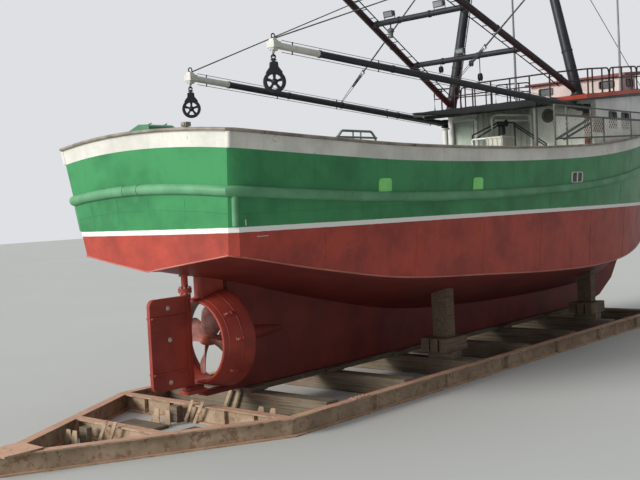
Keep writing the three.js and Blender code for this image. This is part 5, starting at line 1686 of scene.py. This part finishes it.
# %% Pipes and braces over the winch
PALE = paint("pale_pipe_paint", 0xF0EFEA, chips=0.4, streaks=0.4)
PIPE_HIGH = 6.06
tall = [at(-0.04, 11.95, 5.18), at(-0.04, 11.95, PIPE_HIGH), at(0.39, 13.26, PIPE_HIGH)]
pale = [
    pipe(bend(tall, 0.2, 10), 0.03, 16),
    pipe([at(0.0, 12.06, PIPE_HIGH - 0.148), at(0.39, 13.26, PIPE_HIGH - 0.148)], 0.027, 14, rounded=0.008),
    pipe([at(0.42, 13.255, 4.3), at(0.42, 13.255, PIPE_HIGH + 0.03)], 0.032, 16),
    block(at(-0.054, 11.92, 4.89), at(-0.026, 11.98, 5.21)),
]
pale += [collar(at(0.39, 13.262, z), FORWARD, 0.05, 0.03, 0.02) for z in (PIPE_HIGH, PIPE_HIGH - 0.148)]
piece("winch_pipes", pale, PALE)
BRACE_AT = 12.53
braces = []
for ends in (((0.28, 5.84), (1.24, 5.2)), ((0.3, 5.76), (1.22, 5.14)), ((0.3, 5.84), (0.35, 4.2)),
             ((-0.14, 5.9), (-1.02, 5.6)), ((-0.16, 5.82), (-1.0, 5.46)), ((-0.14, 5.88), (0.28, 5.84)),
             ((1.23, 5.22), (1.23, 4.1)), ((-1.01, 5.62), (-1.01, 4.1)), ((-0.16, 5.9), (-0.2, 4.2))):
    braces.append(pipe([at(x, BRACE_AT, z) for x, z in ends], 0.021, 12, rounded=0.006))
hauler = turned([
    [0, -0.13], [0.09, -0.13], [0.1, -0.11], [0.075, -0.07], [0.06, 0.0],
    [0.075, 0.07], [0.1, 0.11], [0.09, 0.13], [0, 0.13],
], at(0.02, 12.42, 5.84), ATHWART, 28)
motor = turned([[0, -0.12], [0.055, -0.12], [0.07, -0.1], [0.07, 0.1], [0.05, 0.12], [0, 0.12]],
               at(0.0, 12.44, 5.66), UP, 20)
piece("winch_braces", merge(hauler, motor, *braces), BLACK)
print(len(braces), "braces")

# %% [markdown]
# The fish hatch is a welded box with small gussets, and a lid with stiffeners and two eyes.
# The lid and everything on it turns about the hinge pin at its fore edge.

# %% Fish hatch
HATCH = {"half": 0.7, "aft": 7.9, "fore": 9.3, "top": 4.64, "wall": 0.06}
LUG = np.array([(9.29, 4.42), (9.45, 4.42), (9.45, 4.69), (9.42, 4.715), (9.29, 4.715)]) + (TRANSOM, 0)
low, wall = 3.9, HATCH["wall"]
walls = []
for side in (-1, 1):
    inner, outer = sorted((side * (HATCH["half"] - wall), side * HATCH["half"]))
    walls.append(block(at(inner, HATCH["aft"], low), at(outer, HATCH["fore"], HATCH["top"])))
for s in (HATCH["aft"], HATCH["fore"] - wall):
    walls.append(block(at(-HATCH["half"], s, low), at(HATCH["half"], s + wall, HATCH["top"])))
for side in (-1, 1):
    fin = [(side * 0.7, 4.15), (side * 0.8, 4.15), (side * 0.7, 4.45)]
    for s in (8.2, 8.6, 9.0):
        walls.append(plate(fin, (s + TRANSOM - 0.006, s + TRANSOM + 0.006), 1))
    walls.append(plate(LUG, (side * 0.45 - 0.018, side * 0.45 + 0.018)))
piece("hatch_walls", walls, GEAR_GREEN, ["hatch_coaming"], bevel=0.005)
lid_low = HATCH["top"] + 0.006
lid = [
    block(at(-0.74, 7.86, lid_low), at(0.74, 9.28, lid_low + 0.052)),
    block(at(-0.4, 9.26, lid_low + 0.005), at(0.4, 9.395, lid_low + 0.05)),
    pipe([at(-0.426, 9.395, 4.675), at(0.426, 9.395, 4.675)], 0.028, 18, rounded=0.006),
]
lid += [block(at(-0.7, s, lid_low + 0.05), at(0.7, s + 0.03, lid_low + 0.06)) for s in (8.1, 8.55, 9.0)]
EYE_SHAPE = ((-0.06, lid_low + 0.05), (-0.06, 4.76), (0.06, 4.76), (0.06, lid_low + 0.05))
for x in (-0.5, 0.5):
    eye = [at(x + aside, 7.98, z) for aside, z in EYE_SHAPE]
    lid.append(pipe(bend(eye, 0.04), 0.01, 8))
piece("hatch_cover", lid, GEAR_GREEN, ["hatch_lid"], body="hatch_lid", bevel=0.006)
print("hatch", len(walls), "parts and a lid of", len(lid))

# %% [markdown]
# Small things stand on the deck aft: a green locker with a sloping lid, a stern light on a
# post, a pipe frame with sloped shoulders, fish boxes with ribbed sides, and bitts at the bow.

# %% Gear on deck
locker_lid = [(-1.02, 5.1), (-0.13, 5.1), (-0.13, 5.44), (-0.2, 5.475), (-0.42, 5.49), (-1.02, 5.29)]
locker = [
    block(at(-1.0, 0.33, 4.1), at(-0.15, 1.05, 5.12)),
    plate(locker_lid, (0.38 + TRANSOM, 0.98 + TRANSOM), 1),
]
locker += [block(at(x, 0.305, 4.2), at(x + 0.03, 0.335, 5.1)) for x in (-0.98, -0.6, -0.2)]
locker += [pipe([at(-0.9, s, 5.34), at(-0.2, s, 5.5)], 0.012, 8) for s in (0.5, 0.86)]
piece("stern_locker", locker, GEAR_GREEN, ["stern_gear_box"], bevel=0.012)
light_post = merge(
    pipe([at(0.61, 0.6, 4.15), at(0.61, 0.6, 5.38)], 0.04, 14),
    block(at(0.54, 0.54, 5.37), at(0.68, 0.66, 5.45)),
    block(at(0.56, 0.52, 5.385), at(0.66, 0.545, 5.435)),
)
piece("stern_light", light_post, RAIL_STEEL, bevel=0.008)
FRAME_GREEN = paint("frame_green", 0x86958A, chips=0.8, streaks=0.4)
HOOP = ((5.45, 4.0), (5.45, 5.34), (5.6, 5.48), (6.63, 5.48), (6.78, 5.34), (6.78, 4.0))
frame_pipes = [
    pipe(bend([at(0, s, z) for s, z in HOOP], 0.05, 5), 0.028, 16),
    pipe([at(0, 5.4, 5.34), at(0, 6.83, 5.34)], 0.024, 14, rounded=0.006),
    pipe([at(0, 5.45, 5.18), at(0, 6.78, 5.18)], 0.02, 12),
]
frame_pipes += [pipe([at(0, s, 4.0), at(0, s, 5.48)], 0.018, 12) for s in (5.98, 6.25)]
piece("deck_pipe_frame", frame_pipes, FRAME_GREEN, ["deck_rail_frame"])
BOX_PAINT = paint("fish_box_paint", 0xC3C3B6, chips=0.4, streaks=0.6)
BOXES = (((0.25, 9.8, 4.2), (1.55, 10.5, 4.98)), ((1.02, 9.85, 4.99), (1.48, 10.45, 5.33)))
boxes = []
for (x0, s0, z0), (x1, s1, z1) in BOXES:
    boxes.append(block(at(x0 + 0.02, s0 + 0.02, z0), at(x1 - 0.02, s1 - 0.02, z1 - 0.03)))
    boxes.append(block(at(x0, s0, z1 - 0.05), at(x1, s1, z1)))
    for x in np.linspace(x0 + 0.04, x1 - 0.04, 4):
        boxes.append(block(at(x - 0.02, s0, z0), at(x + 0.02, s0 + 0.04, z1 - 0.02)))
    for s in np.linspace(s0 + 0.04, s1 - 0.04, 3):
        boxes.append(block(at(x1 - 0.04, s - 0.02, z0), at(x1, s + 0.02, z1 - 0.02)))
piece("fish_boxes", boxes, BOX_PAINT, ["deck_boxes"], bevel=0.006)
low_frame = [at(x, 11.0, z) for x, z in ((-0.08, 4.2), (-0.08, 5.38), (0.92, 5.38), (0.92, 4.2))]
piece("sorting_frame", pipe(bend(low_frame, 0.06), 0.024, 14), PALE)
bitts = [pipe([at(x, 20.3, 5.3), at(x, 20.3, 6.45)], 0.075, 28, rounded=0.015) for x in (-0.23, 0.23)]
bitts.append(pipe([at(-0.36, 20.3, 6.24), at(0.36, 20.3, 6.24)], 0.045, 20, rounded=0.012))
piece("bow_bitt_posts", bitts, BLACK, ["bow_bitts"])
print("fish boxes", len(boxes), "blocks")

# %% [markdown]
# A guard stands on the starboard rail from the winch forward: pipe posts and rails with two
# slanting braces, filled with diamond mesh. Each strand of mesh is a straight thin wire, cut
# where it meets the frame: a slanting line y = c + z is clipped to the frame's box.

# %% Mesh guard
GUARD_X, GUARD_LOW, GUARD_HIGH, GUARD_TOP = 2.8, 5.1, 5.72, 5.95
GUARD_GREY = paint("guard_grey", 0x5C5E58, chips=0.7, streaks=0.4)


def strands(aft, fore, low, high, spacing, slope):
    """Wires across a box: for each offset, the stretch of the line that lies inside it."""
    wires = []
    rise = high - low
    for offset in np.arange(aft - rise, fore, spacing):
        start, end = max(aft, offset), min(fore, offset + rise)
        if end - start > 0.02:
            z0, z1 = low + (start - offset), low + (end - offset)
            if slope < 0:
                z0, z1 = low + high - z0, low + high - z1
            wires.append(pipe([at(GUARD_X, start, z0), at(GUARD_X, end, z1)], 0.008, 4))
    return wires


def rail_top(s):
    """Top of the cap rail."""
    return rail_high(s) + 0.05


guard = [pipe([at(GUARD_X, s, rail_top(s) - 0.02), at(GUARD_X, s, high)], 0.022, 12)
         for s, high in [(s, GUARD_TOP) for s in (10.0, 10.6, 11.9, 14.3)] + [(12.62, GUARD_HIGH)]]
guard += [
    pipe([at(GUARD_X, 9.98, GUARD_HIGH), at(GUARD_X, 14.9, GUARD_HIGH + 0.03)], 0.026, 14, rounded=0.006),
    pipe([at(GUARD_X, 9.98, GUARD_TOP), at(GUARD_X, 14.95, GUARD_TOP)], 0.02, 12, rounded=0.006),
    pipe([at(GUARD_X, 10.0, 5.16), at(GUARD_X, 14.9, 5.34)], 0.02, 12),
    pipe([at(GUARD_X + 0.02, 10.03, 5.15), at(GUARD_X + 0.02, 11.87, 5.71)], 0.03, 12),
    pipe([at(GUARD_X + 0.02, 10.4, 5.15), at(GUARD_X + 0.02, 11.87, 5.58)], 0.026, 12),
]
piece("rail_guard", guard, GUARD_GREY)
mesh_wires = []
for slope in (1, -1):
    mesh_wires += strands(10.0, 14.9, GUARD_LOW + 0.1, GUARD_HIGH, 0.12, slope)
MESH_WHITE = paint("mesh_wire", 0xE6E4DC, streaks=0.1)
piece("guard_mesh", mesh_wires, MESH_WHITE)
sheet = block(at(GUARD_X - 0.02, 12.04, 5.36), at(GUARD_X - 0.008, 12.6, 5.7))
piece("guard_plate", sheet, STANCHION_PAINT, bevel=0.003)
print(len(mesh_wires), "mesh wires")

# %% [markdown]
# The cradle is old rolled steel under a film of red paint dust. The packed beams have the
# right section, so they keep their shape and get this finish: faces that look up are pale
# and pinkish with fallen dust, the webs are grey-brown, and rust shows in patches. Which way
# a face looks comes from the Geometry node's normal.


# %% Rusty steel
def rusty_material():
    """Dust where a face looks up, web colour elsewhere, then pits over both."""
    g = Graph("rusty_steel")
    normal = g.add("NewGeometry").outputs["Normal"]
    up = g.add("SeparateXYZ", {"Vector": normal}).outputs["Z"]
    web = g.mix(g.step(g.noise(2.2, 6.0, 0.65), 0.35, 0.68), linear(0x98856F), linear(0xB7A28A))
    web = g.mix(g.times(g.step(g.noise(7.0, 7.0, 0.7), 0.52, 0.62), 0.7), web, linear(0x7F5A44))
    dust = g.mix(g.step(g.noise(1.6, 6.0, 0.65), 0.35, 0.66), linear(0xC29780), linear(0xD3A98F))
    dust = g.mix(g.times(g.step(g.noise(9.0, 6.0, 0.7), 0.55, 0.66), 0.6), dust, linear(0x86695A))
    colour = g.mix(g.step(up, 0.4, 0.8), web, dust)
    pits = g.step(g.noise(26.0, 8.0, 0.75), 0.6, 0.68)
    colour = g.mix(g.times(pits, 0.5), colour, linear(0x4A3226))
    grain = g.bump(g.noise(90.0, 4.0), 0.25, 0.003)
    return g.finish(colour, 0.85, g.bump(pits, 0.5, -0.002, grain))


RUSTY = rusty_material()
for node in ("beam_starboard", "beam_port", "nose_plate", "cross_beam_aft", "cross_beam_fore"):
    repaint(f"cradle_{node}", RUSTY)
print("cradle beams painted")

# %% [markdown]
# On the beams: stiffeners between the flanges, splice plates with bolts, triangular knees
# and slanting flat bars. All are cut from plate.

# %% Plates on the beams
BEAM_HIGH, SPLICES = 0.33, (3.0, 9.0, 15.0)
SLANTS = (
    (0.95, -0.3, -0.06), (0.95, -0.05, 0.22), (-0.93, -0.38, -0.12),
    (-0.93, -0.12, 0.14), (2.1, -0.48, -0.24), (2.1, -0.22, -0.02),
)
KNEES = ((-0.76, 0.55), (-0.46, 0.55), (-0.8, -1.33), (-0.62, -1.33), (0.9, 1.6), (1.2, 1.6))
fittings = []
for s in (3.4, 5.8, 8.2, 10.6, 12.9, 15.3, 17.4):
    fittings.append(both(block(at(2.18, s - 0.006, 0.026), at(2.36, s + 0.006, 0.304))))
for x in (-1.5, -0.75, 0.75, 1.5):
    fittings.append(block(at(x - 0.006, 1.01, 0.026), at(x + 0.006, 1.19, 0.304)))
SLANT_WIDE = 0.085
for s, foot_x, head_x in SLANTS:
    outline = [(foot_x, 0.003), (foot_x + SLANT_WIDE, 0.003), (head_x + SLANT_WIDE, 0.43), (head_x, 0.43)]
    fittings.append(plate(outline, (s + TRANSOM, s + TRANSOM + 0.016), 1))
for x, s in KNEES:
    outline = [(x, 0.003), (x + 0.26, 0.003), (x + 0.26, 0.3), (x + 0.15, 0.3)]
    fittings.append(plate(outline, (s + TRANSOM, s + TRANSOM + 0.014), 1))
for s in SPLICES:
    fittings.append(both(block(at(2.19, s - 0.22, BEAM_HIGH), at(2.35, s + 0.22, BEAM_HIGH + 0.012))))
piece("cradle_fittings", fittings, RUSTY, bevel=0.002)
bolts = []
for s in SPLICES:
    for x in (2.22, 2.32):
        for step in (-0.16, -0.05, 0.05, 0.16):
            place = at(x, s + step, BEAM_HIGH + 0.012)
            bolts.append(both(turned(peg(0.016, 0, 0.012), place, UP, 6)))
piece("cradle_bolts", bolts, RUSTY)
print(len(fittings), "plates on the cradle")

# %% [markdown]
# Timber that has stood outside for years is grey, split along its grain, and darker where it
# is wet. Grain is noise stretched about thirty times along the baulk, so it needs one for
# baulks that lie athwart the boat and one for those that lie along it. The cut ends show
# the same noise unstretched, which reads as rough end grain.


# %% Timber
def timber_material(name, scale, tint):
    """Grain as noise squeezed by scale, then weathering, splits and dust over it."""
    g = Graph(name)
    grain = g.noise(1.0, 8.0, 0.7, g.stretch(scale), distort=0.3)
    body = g.mix(g.step(grain, 0.3, 0.7), linear(0x4E4439), linear(tint))
    body = g.mix(g.times(g.step(g.noise(1.1, 5.0), 0.45, 0.7), 0.5), body, linear(0x8F8475))
    splits = g.step(grain, 0.60, 0.63)
    body = g.mix(g.times(splits, 0.5), body, linear(0x2B251F))
    dust = g.step(g.noise(2.0, 6.0, 0.7), 0.56, 0.7)
    body = g.mix(g.times(dust, 0.45), body, linear(0x94604F))
    return g.finish(body, 0.88, g.bump(grain, 0.6, 0.01))


ACROSS = timber_material("timber_across", (0.8, 26.0, 26.0), 0x877B68)
ALONG = timber_material("timber_along", (26.0, 0.8, 26.0), 0x84735F)
chance = np.random.default_rng(7)


def baulk(low, high, ends=None):
    """A sawn baulk: a box with each corner a few millimetres out. ends gives four top heights."""
    points, faces = block(low, high)
    points = points + chance.uniform(-0.005, 0.005, points.shape) * (1, 1, 0.5)
    if ends is not None:
        points[1::2, 2] = ends
    return points, faces


def bottom_high(x, s):
    """Height of the hull's bottom: straight from keel to chine across the boat."""
    return line(KEEL_HIGH, s) + (line(CHINE_HIGH, s) - line(KEEL_HIGH, s)) * abs(x) / line(CHINE_HALF, s)


TIMBERS = (2.35, 4.7, 7.05, 9.4, 11.75, 14.1, 16.45)
across, along_keel = [], []
for s in TIMBERS:
    across.append(baulk(at(-2.165, s - 0.165, 0.012), at(2.165, s + 0.165, 0.377)))
    along_keel.append(baulk(at(-0.325, s - 0.225, 0.38), at(0.325, s + 0.225, 0.466)))
for s0, s1 in zip(TIMBERS, TIMBERS[1:]):
    along_keel.append(baulk(at(-0.195, s0 + 0.24, 0.365), at(0.195, s1 - 0.24, 0.464)))
piece("cross_timbers", across, ACROSS, ["cradle_timbers"], bevel=0.01)
piece("keel_blocks", along_keel, ALONG, bevel=0.008)
print(len(across), "cross timbers")

# %% [markdown]
# Under the bilges stand four cribs: a sill of two baulks, three more that lie across it, and
# a prop whose top follows the bottom.

# %% Timber cribs
for number, s in ((1, 7.05), (2, 14.1)):
    for name, side in SIDES:
        x0, x1 = sorted((side * 1.12, side * 1.78))
        lower = [baulk(at(x0, s + a, 0.384), at(x1, s + a + 0.155, 0.556)) for a in (-0.165, 0.008)]
        rows = np.linspace(x0, x1 - 0.19, 3)
        upper = [baulk(at(a, s - 0.418, 0.56), at(a + 0.19, s + 0.418, 0.856)) for a in rows]
        n0, n1 = sorted((side * 1.25, side * 1.65))
        tops = [bottom_high(x, y) - 0.004 for x in (n0, n1) for y in (s - 0.14, s + 0.14)]
        prop = baulk(at(n0, s - 0.14, 0.86), at(n1, s + 0.14, 1.2), tops)
        stands, wood = f"bilge_post_{name}_{number}", "weathered_timber"
        piece(f"crib_{name}_{number}", merge(*upper, prop), ALONG, [stands], bevel=0.008)
        piece(f"crib_sill_{name}_{number}", lower, ACROSS, bevel=0.008)
print("props", round(max(tops), 3), "m high at the bilge")

# %% [markdown]
# A few loose blocks lie inside the cradle's nose.

# %% Loose blocks inside the nose
scraps = [
    baulk(at(-0.54, 0.82, 0.003), at(-0.32, 0.96, 0.3)),
    baulk(at(-0.68, -1.06, 0.003), at(-0.46, -0.95, 0.28)),
    baulk(at(-1.16, 0.12, 0.003), at(-0.15, 0.48, 0.06)),
    baulk(at(0.7, 0.0, 0.003), at(1.3, 0.35, 0.16)),
]
piece("nose_blocks", scraps, ACROSS, bevel=0.008)
print(len(scraps), "loose blocks")

# %% [markdown]
# The boat stands in a plain studio. The floor is pale, and the sky is an even soft grey that
# is brighter to port. A wide warm lamp shines low from astern, and a weaker one lower still.


# %% Stage and light
def stage():
    """A large pale floor that isn't part of the boat."""
    g = Graph("studio_floor")
    floor_paint = g.finish(g.mix(g.noise(0.15, 3.0), linear(0xBDBFBC), linear(0xC6C8C5)), 0.9)
    mesh = bpy.data.meshes.new("floor")
    reach = 120.0
    corners = [(x * reach, y * reach, 0) for x, y in ((-1, -1), (1, -1), (1, 1), (-1, 1))]
    mesh.from_pydata(corners, [], [[0, 1, 2, 3]])
    floor = bpy.data.objects.new("floor", mesh)
    mesh.materials.append(floor_paint)
    bpy.context.scene.collection.objects.link(floor)


def lamp(name, comes_from, strength, spread):
    """A sun lamp that shines from a direction and looks spread degrees wide."""
    light = bpy.data.objects.new(name, bpy.data.lights.new(name, "SUN"))
    light.data.energy = strength
    light.data.angle = radians(spread)
    light.matrix_world = Vector(comes_from).to_track_quat("Z", "Y").to_matrix().to_4x4()
    bpy.context.scene.collection.objects.link(light)
    return light


stage()
world = bpy.data.worlds.new("world")
world.use_nodes = True
bpy.context.scene.world = world
tree = world.node_tree
sky = tree.nodes["Background"]
direction = tree.nodes.new("ShaderNodeSeparateXYZ")
tree.links.new(tree.nodes.new("ShaderNodeTexCoord").outputs["Generated"], direction.inputs["Vector"])
shade = tree.nodes.new("ShaderNodeMapRange")
shade.interpolation_type = "SMOOTHSTEP"
for socket, value in (("From Min", -0.35), ("From Max", 0.6), ("To Min", 1.0), ("To Max", 0.42)):
    shade.inputs[socket].default_value = value
tree.links.new(direction.outputs["X"], shade.inputs["Value"])
tree.links.new(shade.outputs["Result"], sky.inputs["Strength"])
sky.inputs["Color"].default_value = linear(0xDEE0E4)
WARM = (1.0, 0.965, 0.9)
lamp("sun", (-0.3, -0.85, 0.36), 2.6, 20).data.color = WARM
lamp("fill", (-0.2, -1.0, 0.07), 0.9, 30)
print("floor, sky and two lamps set")

# %% [markdown]
